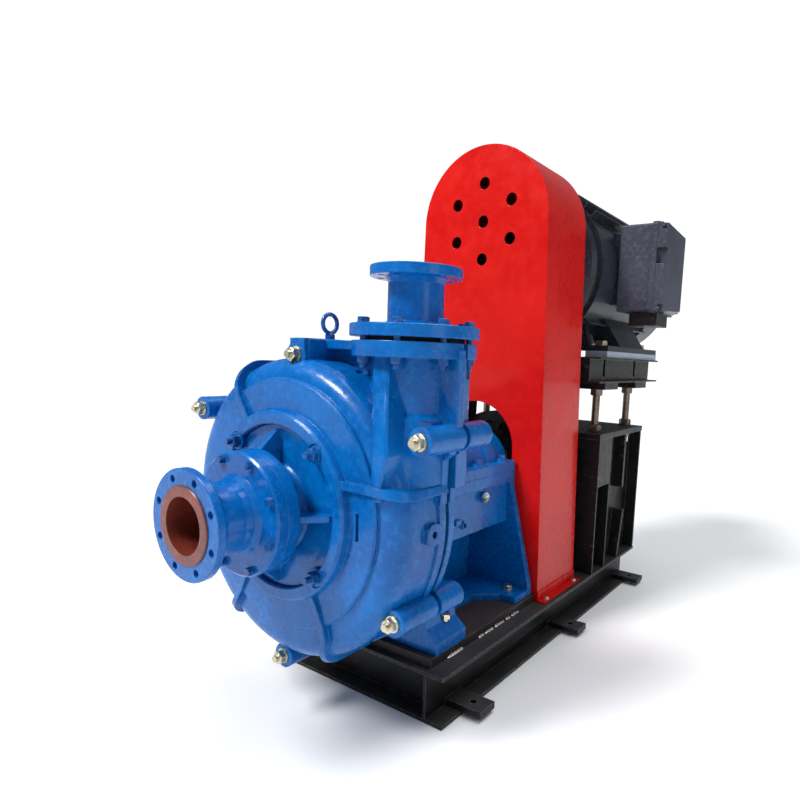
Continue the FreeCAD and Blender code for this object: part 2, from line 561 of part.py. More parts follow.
# =========================================================== BEARING BRACKET
low = box(-BR_X, BR_Y0, Z_SPLIT - FL_H - 4, BR_X, BR_Y1, Z_SPLIT - 0.0)
bx = box(-BOX_X, BR_Y0, BOX_Z, BOX_X, -165, Z_SPLIT - FL_H)
rear_wall = prism_y([(-BR_X, Z_SPLIT - 20), (BR_X, Z_SPLIT - 20), (BR_X, 555), (268, 210), (268, BASE_Z0), (-268, BASE_Z0), (-268, 210), (-BR_X, 555)], BR_Y1 - 24, BR_Y1)
front_wall = prism_y([(-BOX_X, BOX_Z + 20), (BOX_X, BOX_Z + 20), (BOX_X, 400), (138, 240), (138, BASE_Z0), (-138, BASE_Z0), (-138, 240), (-BOX_X, 400)], BR_Y0, BR_Y0 + 24)
web = box(-12, BR_Y0, BASE_Z0, 12, BR_Y1, BOX_Z + 10)
base = prism_z([(268, -140), (268, -248), (210, -250), (138, -318), (138, BR_Y0), (-138, BR_Y0), (-138, -318), (-210, -250), (-268, -248), (-268, -140)], BASE_Z0, BASE_Z0 + BASE_T)
br = low.fuse([bx, rear_wall, front_wall, web, base])
# small pads on the side: gauge boss, drain boss, name plate pad left bare
br = br.fuse([cyl(17.9, (150, -318, 536), (1, 0, 0), 24), cyl(13.0, (150, -424, 463), (1, 0, 0), 22), box(150, -470, 470, 172, -442, 486)])
cav = box(-BOX_X + 22, BR_Y0 + 60, BOX_Z + 22, BOX_X - 22, -235, Z_SPLIT + 5)
cut_b = [cy(126.0, BR_Y0 - 5, BR_Y1 + 5), cav, cy(96.0, BR_Y0 - 5, BR_Y0 + 80)]
cut_b += [cz(10.0, sx * x, y, 160, 200) for sx in (-1, 1) for (x, y) in ((205, -196), (108, -420))]
BRB = [(155, -585), (155, -468), (155, -330), (155, -190)]
cut_b += [cz(8.5, sx * x, y, 560, 620) for sx in (-1, 1) for (x, y) in BRB]
cut_b += [cyl(8.0, (160, -424, 463), (1, 0, 0), 30), cyl(10.0, (152, -318, 536), (1, 0, 0), 40)]
put("bearing_bracket", br.cut(cut_b))

# upper half of the split housing
up = box(-BR_X, BR_Y0, Z_SPLIT, BR_X, BR_Y1, Z_SPLIT + FL_H - 1)
arch = cy(HOUS_R - 6, -470, BR_Y1 + 6).common(box(-200, -700, ZS, 200, 100, 900))
r1 = cy(HOUS_R, -262, -206).common(box(-200, -700, ZS, 200, 100, 900))
r2 = cy(HOUS_R, -466, -420).common(box(-200, -700, ZS, 200, 100, 900))
bos = [cz(21.0, sx * x, y, Z_SPLIT + 10, Z_SPLIT + FL_H + 6) for sx in (-1, 1) for (x, y) in BRB]
up = up.fuse([arch, r1, r2] + bos)
up = up.cut([cy(126.0, -700, BR_Y1 + 20), box(-118, BR_Y0 - 5, ZS - 5, 118, -492, ZS + 80)] + [cz(8.5, sx * x, y, 560, 700) for sx in (-1, 1) for (x, y) in BRB] +
            [cz(16.6, sx * x, y, Z_SPLIT + FL_H + 6, Z_SPLIT + FL_H + 36) for sx in (-1, 1) for (x, y) in BRB])
put("bearing_housing_cover", up)
bl = []
for sx in (-1, 1):
    for i, (x, y) in enumerate(BRB):
        zt = Z_SPLIT + FL_H + 6
        b = cz(8.0, sx * x, y, Z_SPLIT - FL_H - 22, zt + 6)
        b = b.fuse([cz(16.0, sx * x, y, zt, zt + 3), hex_head(24, (sx * x, y, zt + 3), (0, 0, 1), 11, rot=19 * i), hex_head(24, (sx * x, y, Z_SPLIT - FL_H - 4), (0, 0, -1), 13)])
        bl.append(b)
put("housing_bolts", [b.cut(box(-BOX_X - 0.3, -700, BOX_Z, BOX_X + 0.3, -160, 571)) for b in bl])

# bearing cartridge: one barrel carrying both bearings
bar = rev_y_poly([(80, -482), (125.6, -482), (125.6, -150), (80, -150)])
bar = bar.cut([cy(90.0, -476 + 0, -430), cy(90.0, -280, -149), cy(90.0, -483, -430)])
put("bearing_cartridge", bar)
cov = [rev_y_poly([(46.2, -496), (112, -496), (118, -492), (118, -482.2), (89.6, -482.2), (89.6, -474), (46.2, -474)]),
       rev_y_poly([(46.2, -149.8), (46.2, -124), (110, -124), (118, -130), (118, -149.8)])]
cbol = []
for k in range(6):
    a = 30 + 60 * k
    x, z = polar(104, a)
    cov[0] = cov[0].fuse(hex_head(17, (x, -496, z), (0, -1, 0), 8))
    cov[1] = cov[1].fuse(hex_head(17, (x, -124.0, z), (0, 1, 0), 8))
put("bearing_covers", cov)
orc, irc, rol = [], [], []
for (y0, y1) in ((-473, -433), (-278, -238), (-192, -152)):
    orc.append(tuby(89.9, 79.0, y0, y1))
    irc.append(tuby(56.0, SH_R_BRG + 0.02, y0, y1))
    n = 15
    for k in range(n):
        x, z = polar(67.5, 360.0 * k / n)
        rol.append(cy(11.4, y0 + 6, y1 - 6, x, z))
put("pump_bearing_outer_races", orc)
put("pump_bearing_inner_races", irc + rol)

# oil level gauge and plugs
og = cyl(17.0, (174.2, -318, 536), (1, 0, 0), 6).fuse([cyl(9.8, (160, -318, 536), (1, 0, 0), 16), cyl(12.5, (180, -318, 536), (1, 0, 0), 5)])
put("oil_gauge", [og])

an = []
for sx in (-1, 1):
    for (x, y, zt) in ((205, -196, BASE_Z0 + BASE_T), (108, -420, BASE_Z0 + BASE_T)):
        b = cz(9.5, sx * x, y, 140, zt + 6).fuse([cz(18.0, sx * x, y, zt, zt + 3), hex_head(30, (sx * x, y, zt + 3), (0, 0, 1), 13, rot=9)])
        an.append(b)
    x, y = sx * 235, -600
    an.append(cz(9.5, x, y, 140, 246).fuse([hex_head(30, (x, y, 240), (0, 0, 1), 13)]))

# ================================================================ PUMP ROTOR
sh = rev_y_poly([(0, -868), (30, -868), (SH_R_IMP, -860), (SH_R_IMP, -690), (38, -690), (38, -545), (42, -545), (42, -500), (SH_R_BRG, -500), (SH_R_BRG, -140), (SH_R_PUL, -140),
                 (SH_R_PUL, 132), (SH_R_PUL - 3, 135), (0, 135)])
put("pump_shaft", sh)
sl = rev_y_poly([(38.0, -688), (46.4, -688), (46.4, -545.2), (38.0, -545.2)])
put("shaft_sleeve", sl)


def vane_ring(r0, r1, y0, y1, n, t, sweep):
    out = []
    for k in range(n):
        a0 = 360.0 * k / n
        p = []
        q = []
        m = 7
        for j in range(m):
            f = j / (m - 1.0)
            r = r0 + (r1 - r0) * f
            a = math.radians(a0 + sweep * f)
            ta = a + math.pi / 2
            hw = t / 2.0
            p.append((r * math.cos(a) + hw * math.cos(ta), ZS + r * math.sin(a) + hw * math.sin(ta)))
            q.append((r * math.cos(a) - hw * math.cos(ta), ZS + r * math.sin(a) - hw * math.sin(ta)))
        out.append(prism_y(p + q[::-1], y0, y1))
    return out


IMP_R = 205.0
im = rev_y_poly([(35.02, -868), (46, -862), (70, -812), (110, -776), (IMP_R, -770), (IMP_R, -752), (94, -752), (94, -735), (52, -731), (52, -690.2), (35.02, -690.2)])
im = im.fuse(rev_y_poly([(EYE_R, -856), (SUC_BORE / 2 + 16, -860), (228 - 20, -850), (IMP_R, -850), (IMP_R, -834), (110, -838), (EYE_R, -848)]))
im = im.fuse([s.cut([cy(35.0, -900, -700)]) for s in vane_ring(74, IMP_R - 4, -846, -766, 5, 15, -70)])
put("impeller", im.cut(cy(35.02, -900, -680)))
ex = rev_y_poly([(38.3, -686), (128, -686), (128, -677), (38.3, -677)])
ex = ex.fuse(vane_ring(58, 127, -679, -658, 8, 8, -20)).fuse(tuby(56, 46.5, -679, -656)).cut(cy(46.45, -700, -650))
put("expeller", ex)


def pulley(pd, bore, zc, y0=PUL_Y0, y1=PUL_Y1, spokes=5, hub_r=70):
    """V-grooved rim, hub and spoked web."""
    n = N_BELT
    rr = pd / 2.0 + 6.0
    edge = (y1 - y0 - n * BELT_PITCH) / 2.0
    prof = [(rr - 36, y0), (rr, y0)]
    for k in range(n):
        yc = y0 + edge + BELT_PITCH * (k + 0.5)
        prof += [(rr, yc - 11.0), (rr - 20, yc - 7.2), (rr - 20, yc + 7.2), (rr, yc + 11.0)]
    prof += [(rr, y1), (rr - 36, y1)]
    rim = rev_y_poly(prof, 0.0, zc)
    hub = tuby(hub_r, bore, y0 + 10, y1 - 2, 0.0, zc)
    webp = tuby(rr - 30, hub_r - 6, (y0 + y1) / 2 - 12, (y0 + y1) / 2 + 12, 0.0, zc)
    rm = 0.5 * (rr - 36 + hub_r)
    rw = 0.5 * (rr - 36 - hub_r) - 7
    hol = []
    for k in range(spokes):
        a = math.radians(360.0 * k / spokes + 18)
        hol.append(cy(max(rw, 6), y0, y1, rm * math.cos(a), zc + rm * math.sin(a)))
    return rim.fuse([webp.cut(hol), hub])


put("pump_pulley", pulley(PUMP_PD, SH_R_PUL + 0.02, ZS, spokes=6, hub_r=66))

# ================================================================ MOTOR ROTOR
ZMM = ZM
msh = rev_y_poly([(0, 2), (40, 2), (42.5, 5), (42.5, M_SH_Y), (47.5, M_SH_Y), (47.5, 250), (60, 250), (60, 930), (47.5, 930), (47.5, 985), (38, 985), (38, 1082), (0, 1082)], 0.0, ZMM)
put("motor_shaft", msh)
put("motor_pulley", pulley(MOT_PD, 42.52, ZMM, spokes=5, hub_r=68))
put("motor_rotor_core", tuby(168.0, 60.02, 380, 820, 0.0, ZMM).fuse([tuby(160.0, 120.0, 350, 380, 0.0, ZMM), tuby(160.0, 120.0, 820, 850, 0.0, ZMM)]))
fan = tuby(70, 38.02, 1010, 1060, 0.0, ZMM).fuse(tuby(180, 60, 1010, 1016, 0.0, ZMM))
fb = []
for k in range(9):
    b = box(60, 1012, -3, 210, 1062, 3)
    b.rotate(V(0, 0, 0), V(0, 1, 0), 40.0 * k)
    b.translate(V(0, 0, ZMM))
    fb.append(b)
put("cooling_fan", fan.fuse(fb).cut(cy(38.02, 1000, 1100, 0.0, ZMM)))
mo, mi = [], []
for (y0, y1) in ((205, 248), (936, 978)):
    mo.append(fuse([tuby(100.0, 84.0, y0, y1, 0.0, ZMM)]))
    mi.append(tuby(63.0, 47.52, y0, y1, 0.0, ZMM))
    yb = 0.5 * (y0 + y1)
    for k in range(10):
        x, z = polar(73.5, 36.0 * k, ZMM)
        mo.append(Part.makeSphere(10.3, V(x, yb, z)))
put("motor_bearing_outer_races", mo)
put("motor_bearing_inner_races", mi)

# ===================================================================== BELTS
def belt_loop(yc):
    """One belt round both pulleys, trapezoid section swept on the open loop."""
    rp, rm = PUMP_PD / 2.0, MOT_PD / 2.0
    c = ZMM - ZS
    s = math.asin((rp - rm) / c)
    sect_r = (-7.0, 6.5)

    def loop(dr):
        a1, a2 = rp + dr, rm + dr
        cs, sn = math.cos(s), math.sin(s)
        p1 = V(a1 * cs, 0, ZS + a1 * sn)
        p2 = V(a2 * cs, 0, ZMM + a2 * sn)
        p3 = V(-a2 * cs, 0, ZMM + a2 * sn)
        p4 = V(-a1 * cs, 0, ZS + a1 * sn)
        return Part.Wire([Part.LineSegment(p1, p2).toShape(), Part.Arc(p2, V(0, 0, ZMM + a2), p3).toShape(),
                          Part.LineSegment(p3, p4).toShape(), Part.Arc(p4, V(0, 0, ZS - a1), p1).toShape()])

    def band(d_in, d_out, w):
        fo = Part.Face(loop(d_out)).extrude(V(0, w, 0))
        fi = Part.Face(loop(d_in)).extrude(V(0, w, 0))
        r = fo.cut(fi)
        r.translate(V(0, yc - w / 2.0, 0))
        return r
    # stepped approximation of the tapered flanks, clear of the groove walls
    return fuse([band(-7.0, -2.4, 16.2), band(-2.4, 2.2, 18.0), band(2.2, 6.8, 19.8)])


bs = []
edge = (PUL_Y1 - PUL_Y0 - N_BELT * BELT_PITCH) / 2.0
for k in range(N_BELT):
    bs.append(belt_loop(PUL_Y0 + edge + BELT_PITCH * (k + 0.5)))
put("v_belts", bs)

# ===================================================================== GUARD
def guard_outline(off):
    """Arch over tapered sides, shrunk inwards by off."""
    w0 = G_WB - off
    r = G_R - off
    k = (G_WB - G_R) / (G_ZC - G_Z0)
    zt = G_ZC
    return [((-w0, G_Z0), (w0, G_Z0)), ((w0, G_Z0), (r, zt)), ((r, zt), (0, zt + r), (-r, zt)), ((-r, zt), (-w0, G_Z0))]


def guard_solid(off, y0, y1):
    w = wire_from(guard_outline(off), lambda p: V(p[0], y0, p[1]))
    return Part.Face(w).extrude(V(0, y1 - y0, 0))


gsh = guard_solid(0, G_Y0, G_Y1).cut([guard_solid(G_T, G_Y0 + G_T, G_Y1 + 5)])
# turned-in rear lip
lip = guard_solid(0, G_Y1 - G_T, G_Y1).cut(guard_solid(26, G_Y1 - G_T - 2, G_Y1 + 2))
gsh = gsh.fuse(lip)
# back sheet behind the upper pulley with an upright slot for the motor shaft
back = guard_solid(2, G_Y1 - 3, G_Y1).common(box(-400, G_Y1 - 10, 1160, 400, G_Y1 + 5, 1800))
back = back.cut([cy(62.0, G_Y1 - 10, G_Y1 + 5, 0, ZMM + 36), cy(62.0, G_Y1 - 10, G_Y1 + 5, 0, ZMM - 32), box(-62, G_Y1 - 10, ZMM - 32, 62, G_Y1 + 5, ZMM + 36)])
gsh = gsh.fuse(back)
opn = box(-G_WB + G_T, G_Y0 + G_T, G_Z0 - 2, G_WB - G_T, G_Y1 - G_T, G_Z0 + 2)
gsh = gsh.cut(opn)
cutp = cy(CUT_R, G_Y0 - 5, G_Y0 + G_T + 5, 0, CUT_Z).fuse(box(-CUT_R, G_Y0 - 5, G_Z0 - 5, CUT_R, G_Y0 + G_T + 5, CUT_Z))
hol = [cy(G_HOLE, G_Y0 - 5, G_Y0 + G_T + 5, 0, G_ZC)]
for k in range(6):
    x, z = polar(G_HEX, 30 + 60 * k, G_ZC)
    hol.append(cy(G_HOLE, G_Y0 - 5, G_Y0 + G_T + 5, x, z))
gsh = gsh.cut([cutp] + hol)
# foot angles along both sides and the front
fa = []
for sx in (1, -1):
    a = prism_y([(G_WB - 1.0, G_Z0), (G_WB + 30, G_Z0), (G_WB + 30, G_Z0 + 5), (G_WB + 4, G_Z0 + 5), (G_WB + 3.2, G_Z0 + 36), (G_WB - 1.8, G_Z0 + 36)], G_Y0, G_Y1)
    fa.append(a if sx > 0 else mir(a))
gsh = gsh.fuse(fa)
gb = [(sx * (G_WB + 18), y) for sx in (-1, 1) for y in (-95.0, 130.0)]
gsh = gsh.cut([cz(5.5, x, y, G_Z0 - 2, G_Z0 + 8) for (x, y) in gb])
put("belt_guard", gsh)
gbl = [cz(5.0, x, y, G_Z0 - 16, G_Z0 + 8).fuse([cz(9.5, x, y, G_Z0 + 5, G_Z0 + 7), hex_head(16, (x, y, G_Z0 + 7), (0, 0, 1), 7, rot=7)]) for (x, y) in gb]
put("base_bolts", an + gbl)

# ====================================================================== SKID
def channel_y(xw, sgn, y0, y1):
    """Channel along Y, web at xw, flanges pointing sgn*X."""
    a, b = (xw, xw + sgn * CH_B)
    x0, x1 = min(a, b), max(a, b)
    w0, w1 = (xw, xw + sgn * CH_TW)
    s = box(x0, y0, 0, x1, y1, CH_TF).fuse([box(x0, y0, SK_H - CH_TF, x1, y1, SK_H), box(min(w0, w1), y0, 0, max(w0, w1), y1, SK_H)])
    return s


def channel_x(yw, sgn, x0, x1, z0=0.0, z1=SK_H, b=CH_B, tw=CH_TW, tf=CH_TF):
    y0, y1 = min(yw, yw + sgn * b), max(yw, yw + sgn * b)
    w0, w1 = min(yw, yw + sgn * tw), max(yw, yw + sgn * tw)
    return box(x0, y0, z0, x1, y1, z0 + tf).fuse([box(x0, y0, z1 - tf, x1, y1, z1), box(x0, w0, z0, x1, w1, z1)])


XW = SK_W / 2 - CH_B
frame = [channel_y(XW, 1, -SK_L / 2, SK_L / 2), channel_y(-XW, -1, -SK_L / 2, SK_L / 2),
         channel_x(-SK_L / 2 + CH_B, -1, -XW - 1, XW + 1), channel_x(SK_L / 2 - CH_B, 1, -XW - 1, XW + 1),
         channel_x(-32.5, 1, -XW - 1, XW + 1), channel_x(-400, 1, -XW - 1, XW + 1), channel_x(300, 1, -XW - 1, XW + 1)]
lugs = []
for y in LUG_Y:
    for sx in (-1, 1):
        l = box(XW + CH_TW - 1, y - LUG_W / 2, CH_TF, SK_W / 2 + LUG_OUT, y + LUG_W / 2, CH_TF + LUG_T)
        l = l.cut(cz(LUG_HOLE / 2, LUG_HX, y, -5, 60))
        lugs.append(l if sx > 0 else mir(l))
fr_s = fuse(frame).fuse(lugs)
fr_s = fr_s.cut([cz(5.2, x, y, SK_H - 20, SK_H + 5) for (x, y) in gb])
put("skid_frame", fr_s)
dk = box(-DECK_X, DECK_Y0, SK_H, DECK_X, DECK_Y1, DECK_Z)
dk = dk.cut(box(-85, -720, 140, -15, -650, 180))
dk = dk.cut([cz(9.6, sx * x, y, 130, 180) for sx in (-1, 1) for (x, y) in ((205, -196), (108, -420), (235, -600))])
put("deck_plate", dk)

# =============================================================== MOTOR STAND
PW = 120.0
tf = 8.0
stand = [box(-ST_X, ST_Y0, ST_Z1 - ST_PT, ST_X, ST_Y1, ST_Z1)]
for sx in (1, -1):
    # front post: channel, web to the front
    p = box(ST_X - 92, ST_Y0 + 4, SK_H, ST_X - 1, ST_Y0 + 12, ST_Z1 - ST_PT).fuse([box(ST_X - 92, ST_Y0 + 4, SK_H, ST_X - 84, ST_Y0 + 60, ST_Z1 - ST_PT)])
    # rear post: channel open to the outside
    q = box(ST_X - 60, ST_Y1 - 364 + 2, SK_H, ST_X - 52, ST_Y1 - 4, ST_Z1 - ST_PT)
    q = q.fuse([box(ST_X - 60, ST_Y1 - 364 + 2, SK_H, ST_X - 2, ST_Y1 - 364 + 10, ST_Z1 - ST_PT),
                box(ST_X - 60, ST_Y1 - 12, SK_H, ST_X - 2, ST_Y1 - 4, ST_Z1 - ST_PT),
                box(ST_X - 60, ST_Y1 - 206, 458, ST_X - 2, ST_Y1 - 190, ST_Z1 - ST_PT)])
    # apron under the top plate
    ap = box(ST_X - 10, ST_Y0 + 4, 500, ST_X - 2, ST_Y1 - 360, ST_Z1 - ST_PT)
    # sloping stiffener inside the rear post
    stf = prism_x([(ST_Y1 - 206, SK_H), (ST_Y1 - 190, SK_H), (ST_Y1 - 150, 350), (ST_Y1 - 166, 350)], ST_X - 60, ST_X - 6)
    for s in (p, q, ap, stf):
        stand.append(s if sx > 0 else mir(s))
# cross members
stand.append(box(-ST_X + 92, ST_Y0 + 4, 560, ST_X - 92, ST_Y0 + 12, ST_Z1 - ST_PT))
stand.append(box(-ST_X + 60, ST_Y1 - 12, 520, ST_X - 60, ST_Y1 - 4, ST_Z1 - ST_PT))
stand.append(box(-ST_X + 60, ST_Y1 - 12, SK_H, ST_X - 60, ST_Y1 - 4, SK_H + 60))
std = fuse(stand)
rods = [(sx * ROD_X, y) for sx in (-1, 1) for y in ROD_Y]
std = std.cut([cz(ROD_R + 1.0, x, y, ST_Z1 - 80, ST_Z1 + 5) for (x, y) in rods] + [cz(28.5, x, y, ST_Z1 - ST_PT - 56, ST_Z1 - ST_PT) for (x, y) in rods])
put("motor_stand", std)
put("threaded_rods", [cz(ROD_R, x, y, ST_Z1 - ST_PT - 52, 975) for (x, y) in rods])
sn = []
for (x, y) in rods:
    sn.append(hex_head(46, (x, y, ST_Z1 + 3), (0, 0, 1), 24, rot=12).fuse(cz(28.0, x, y, ST_Z1, ST_Z1 + 3)).cut(cz(ROD_R + 0.02, x, y, 600, 900)))
    sn.append(hex_head(46, (x, y, ST_Z1 - ST_PT - 3), (0, 0, -1), 24, rot=12).fuse(cz(26.0, x, y, ST_Z1 - ST_PT - 3, ST_Z1 - ST_PT)).cut(cz(ROD_R + 0.02, x, y, 600, 900)))
put("stand_nuts", sn)

# ============================================================ MOTOR PLATFORM
def pchan_y(xw, sgn, y0, y1, z0, z1, b=50.0, t=7.0):
    x0, x1 = min(xw, xw + sgn * b), max(xw, xw + sgn * b)
    w0, w1 = min(xw, xw + sgn * t), max(xw, xw + sgn * t)
    return box(x0, y0, z0, x1, y1, z0 + t).fuse([box(x0, y0, z1 - t, x1, y1, z1), box(w0, y0, z0, w1, y1, z1)])


def pchan_x(yw, sgn, x0, x1, z0, z1, b=50.0, t=7.0):
    y0, y1 = min(yw, yw + sgn * b), max(yw, yw + sgn * b)
    w0, w1 = min(yw, yw + sgn * t), max(yw, yw + sgn * t)
    return box(x0, y0, z0, x1, y1, z0 + t).fuse([box(x0, y0, z1 - t, x1, y1, z1), box(x0, w0, z0, x1, w1, z1)])


pf = [pchan_y(PL_X - 50, 1, PL_Y0, PL_Y1, PL_Z0, PL_Z1), pchan_y(-PL_X + 50, -1, PL_Y0, PL_Y1, PL_Z0, PL_Z1),
      pchan_x(PL_Y0, 1, -PL_X + 50, PL_X - 50, PL_Z0, PL_Z1), pchan_x(PL_Y1, -1, -PL_X + 50, PL_X - 50, PL_Z0, PL_Z1),
      pchan_x(530, 1, -PL_X + 50, PL_X - 50, PL_Z0, PL_Z1)]
pads = [box(sx * ROD_X - 62 if sx > 0 else sx * ROD_X - 62, y - 70, PAD_Z0, sx * ROD_X + 62, y + 70, PL_Z0) for sx in (-1, 1) for y in ROD_Y]
plat = fuse(pf + pads)
plat = plat.cut([cz(ROD_R + 0.8, x, y, 860, 1006.9) for (x, y) in rods])
plat = plat.cut([cz(28.0, x, y, PL_Z0 + 0.0, PL_Z1 - 0.0) for (x, y) in rods])
put("platform_frame", plat)
pn = []
for (x, y) in rods:
    pn.append(hex_head(46, (x, y, PAD_Z0 - 3), (0, 0, -1), 24, rot=12).fuse(cz(27.0, x, y, PAD_Z0 - 3, PAD_Z0)).cut(cz(ROD_R + 0.05, x, y, 600, 1100)))
    pn.append(hexa(46, (x, y, PL_Z0 + 0.2), (0, 0, 1), 22, rot=12).common(cz(26.0, x, y, PL_Z0, PL_Z0 + 30)).cut(cz(ROD_R + 0.05, x, y, 600, 1100)))
put("platform_nuts", pn)
bp = [box(sx * 318 - (92 if sx > 0 else 0), 296, PL_Z1, sx * 318 + (0 if sx > 0 else 92), 906, BP_Z1) for sx in (1, -1)]
mh = [(sx * M_A / 2, M_SH_Y + M_C + k * M_B) for sx in (-1, 1) for k in (0, 1)]
put("motor_base_plates", [b.cut([cz(14.5, x, y, PL_Z1 - 5, BP_Z1 + 5) for (x, y) in mh]) for b in bp])

# ===================================================================== MOTOR
fy0, fy1 = M_Y0, M_Y1
mf = tuby(M_R, M_R - 16, fy0, fy1, 0.0, ZMM)
fins = []
nf = 40
for k in range(nf):
    a = 360.0 * k / nf + 4.5
    am = (a + 360) % 360
    if 236 < am < 304:
        continue
    if am < 34 or am > 326:
        continue
    f = box(M_R - 3, fy0 + 6, -2.5, M_FIN, fy1 - 6, 2.5)
    f.rotate(V(0, 0, 0), V(0, 1, 0), -a)
    f.translate(V(0, 0, ZMM))
    fins.append(f)
# feet: pad, sloping web and rib
feet = []
for sx in (1, -1):
    pad_f = box(196, 300, BP_Z1, 318, 902, BP_Z1 + 22)
    webf = prism_y([(188, 1150), (232, 1172), (312, BP_Z1 + 20), (270, BP_Z1 + 5), (210, BP_Z1 + 5), (176, 1120)], 452, 742)
    r1_ = prism_y([(150, 1110), (206, 1150), (240, BP_Z1 + 5), (196, BP_Z1 + 5)], 310, 336)
    r2_ = prism_y([(150, 1110), (206, 1150), (240, BP_Z1 + 5), (196, BP_Z1 + 5)], 866, 892)
    g = fuse([pad_f, webf, r1_, r2_])
    feet.append(g if sx > 0 else mir(g))
tbase = box(262, 420, 1222, 300, 650, 1500)
frm = mf.fuse(fins).fuse(feet + [tbase]).cut([cy(M_R - 16, fy0 - 5, fy1 + 5, 0.0, ZMM)])
frm = frm.cut([cz(14.5, x, y, BP_Z1 - 5, BP_Z1 + 40) for (x, y) in mh])
put("motor_frame", frm)
es = rev_y_poly([(100.05, 205), (112, 196), (150, 186), (205, 190), (262, 224), (276, 240), (276, 262), (M_R - 16.2, 262), (M_R - 16.2, 274), (262, 274), (252, 258), (196, 214), (150, 206), (112, 206), (112, 250), (100.05, 250)], 0.0, ZMM)
lip1 = rev_y_poly([(M_R - 18, 252), (M_R + 4, 252), (M_R + 4, 261.7), (M_R - 18, 261.7)], 0.0, ZMM)
es = es.fuse(lip1)
es2 = rev_y_poly([(100.05, 934), (112, 934), (112, 962), (240, 962), (262, 926), (M_R - 16.2, 926), (M_R - 16.2, 940.3), (M_R + 4, 940.3), (M_R + 4, 958), (262, 968), (236, 990), (60, 990), (60, 980), (100.05, 980)], 0.0, ZMM)
rb_ = []
for k in range(8):
    b = prism_x([(190, 150), (188, 170), (193, 205), (226, 262), (250, 262), (250, 150)], -5, 5)
    b.rotate(V(0, 0, 0), V(0, 1, 0), 45.0 * k + 22.5)
    b.translate(V(0, 0, ZMM))
    rb_.append(b.cut(cy(262, 258, 300, 0, ZMM)))
dcov = rev_y_poly([(48.5, 180), (96, 180), (112, 186), (112, 204), (48.5, 204)], 0.0, ZMM)
put("motor_end_shields", [es.fuse(dcov), es2])
put("motor_stator", [tuby(M_R - 16.05, 170.0, 385, 815, 0.0, ZMM), tuby(250.0, 184.0, 322, 385, 0.0, ZMM), tuby(250.0, 184.0, 815, 878, 0.0, ZMM)])
cow = rev_y_poly([(M_R + 8, 944), (M_R + 11, 944), (M_R + 11, 1108), (M_R - 8, 1128), (60, 1128), (60, 1125), (M_R - 10, 1125), (M_R + 8, 1107)], 0.0, ZMM)
slots = []
for r in (90, 115, 140, 165, 190, 215, 240):
    slots.append(tuby(r + 8, r - 2 + 2, 1120, 1135, 0.0, ZMM))
spk = [box(-7, 1110, -300, 7, 1140, 300)]
spk += [box(-300, 1110, -7, 300, 1140, 7)]
grille = fuse(slots)
for b in spk:
    bb_ = b.copy()
    bb_.translate(V(0, 0, ZMM))
    grille = grille.cut(bb_)
cow = cow.cut(grille).fuse(rev_y_poly([(0.0, 1125), (62, 1125), (62, 1128), (0.0, 1128)], 0.0, ZMM))
lug4 = []
for a in (45, 135, 225, 315):
    x, z = polar(M_R + 6, a, ZMM)
    lug4.append(cy(7.0, 944, 958.5, x, z))
put("fan_cowl", cow.fuse([l.common(tuby(M_R + 12, M_R + 4.2, 940, 960, 0, ZMM)) for l in lug4]))

# terminal box: base against the frame, lid outboard
x0, y0, z0, x1, y1, z1 = TB
xl = 425.0
tb_s = prism_x([(y0 + 6, z0 + 12), (y0 + 12, z0 + 5), (y1 - 12, z0 + 5), (y1 - 6, z0 + 12), (y1 - 6, z1 - 12), (y1 - 12, z1 - 6), (y0 + 12, z1 - 6), (y0 + 6, z1 - 12)], x0 + 4.2, xl)
tb_s = tb_s.cut(prism_x([(y0 + 14, z0 + 16), (y1 - 14, z0 + 16), (y1 - 14, z1 - 16), (y0 + 14, z1 - 16)], x0 + 16, xl + 5))
put("terminal_box", tb_s)
lid = prism_x([(y0, z0 + 10), (y0 + 10, z0), (y1 - 10, z0), (y1, z0 + 10), (y1, z1 - 10), (y1 - 10, z1), (y0 + 10, z1), (y0, z1 - 10)], xl + 0.3, xl + 22)
body_l = Part.makeLoft([
    Part.makePolygon([V(xl + 10, a, b) for a, b in ((y0 + 2, z0 + 2), (y1 - 2, z0 + 2), (y1 - 2, z1 - 2), (y0 + 2, z1 - 2), (y0 + 2, z0 + 2))]),
    Part.makePolygon([V(x1, a, b) for a, b in ((y0 + 5, z0 + 6), (y1 - 14, z0 + 22), (y1 - 14, z1 - 24), (y0 + 5, z1 - 8), (y0 + 5, z0 + 6))])], True, True)
lid = lid.fuse(body_l)
cvs = [box(x1 - 34, y0 - 2, 1372, x1 + 2, y0 + 26, 1432)]
for yy in (y0 - 2, y1 - 16):
    for (za, zb) in ((z0 - 2, z0 + 30), (z1 - 32, z1 + 2)):
        cvs.append(box(x1 - 18, yy, za, x1 + 3, yy + 20, zb))
lid = lid.cut(cvs)
scr = []
for (yy, zz) in ((y0 + 10, z0 + 18), (y0 + 10, z1 - 18), (y1 - 8, z0 + 20), (y1 - 8, z1 - 20)):
    scr.append(cyl(6.5, (x1 - 22, yy, zz), (1, 0, 0), 10))
put("terminal_box_lid", [lid.fuse(scr)])
cg = box(348, 425, z0 - 50, 460, 560, z0 - 0.3).fuse(box(352, 432, z0 - 0.3, 420, 553, z0 + 4.9))
gl_x, gl_y = (376.0, 432.0), 492.0
put("gland_block", [cg.cut([cyl(16.0, (gx, gl_y, z0 - 60), (0, 0, 1), 44) for gx in gl_x])])

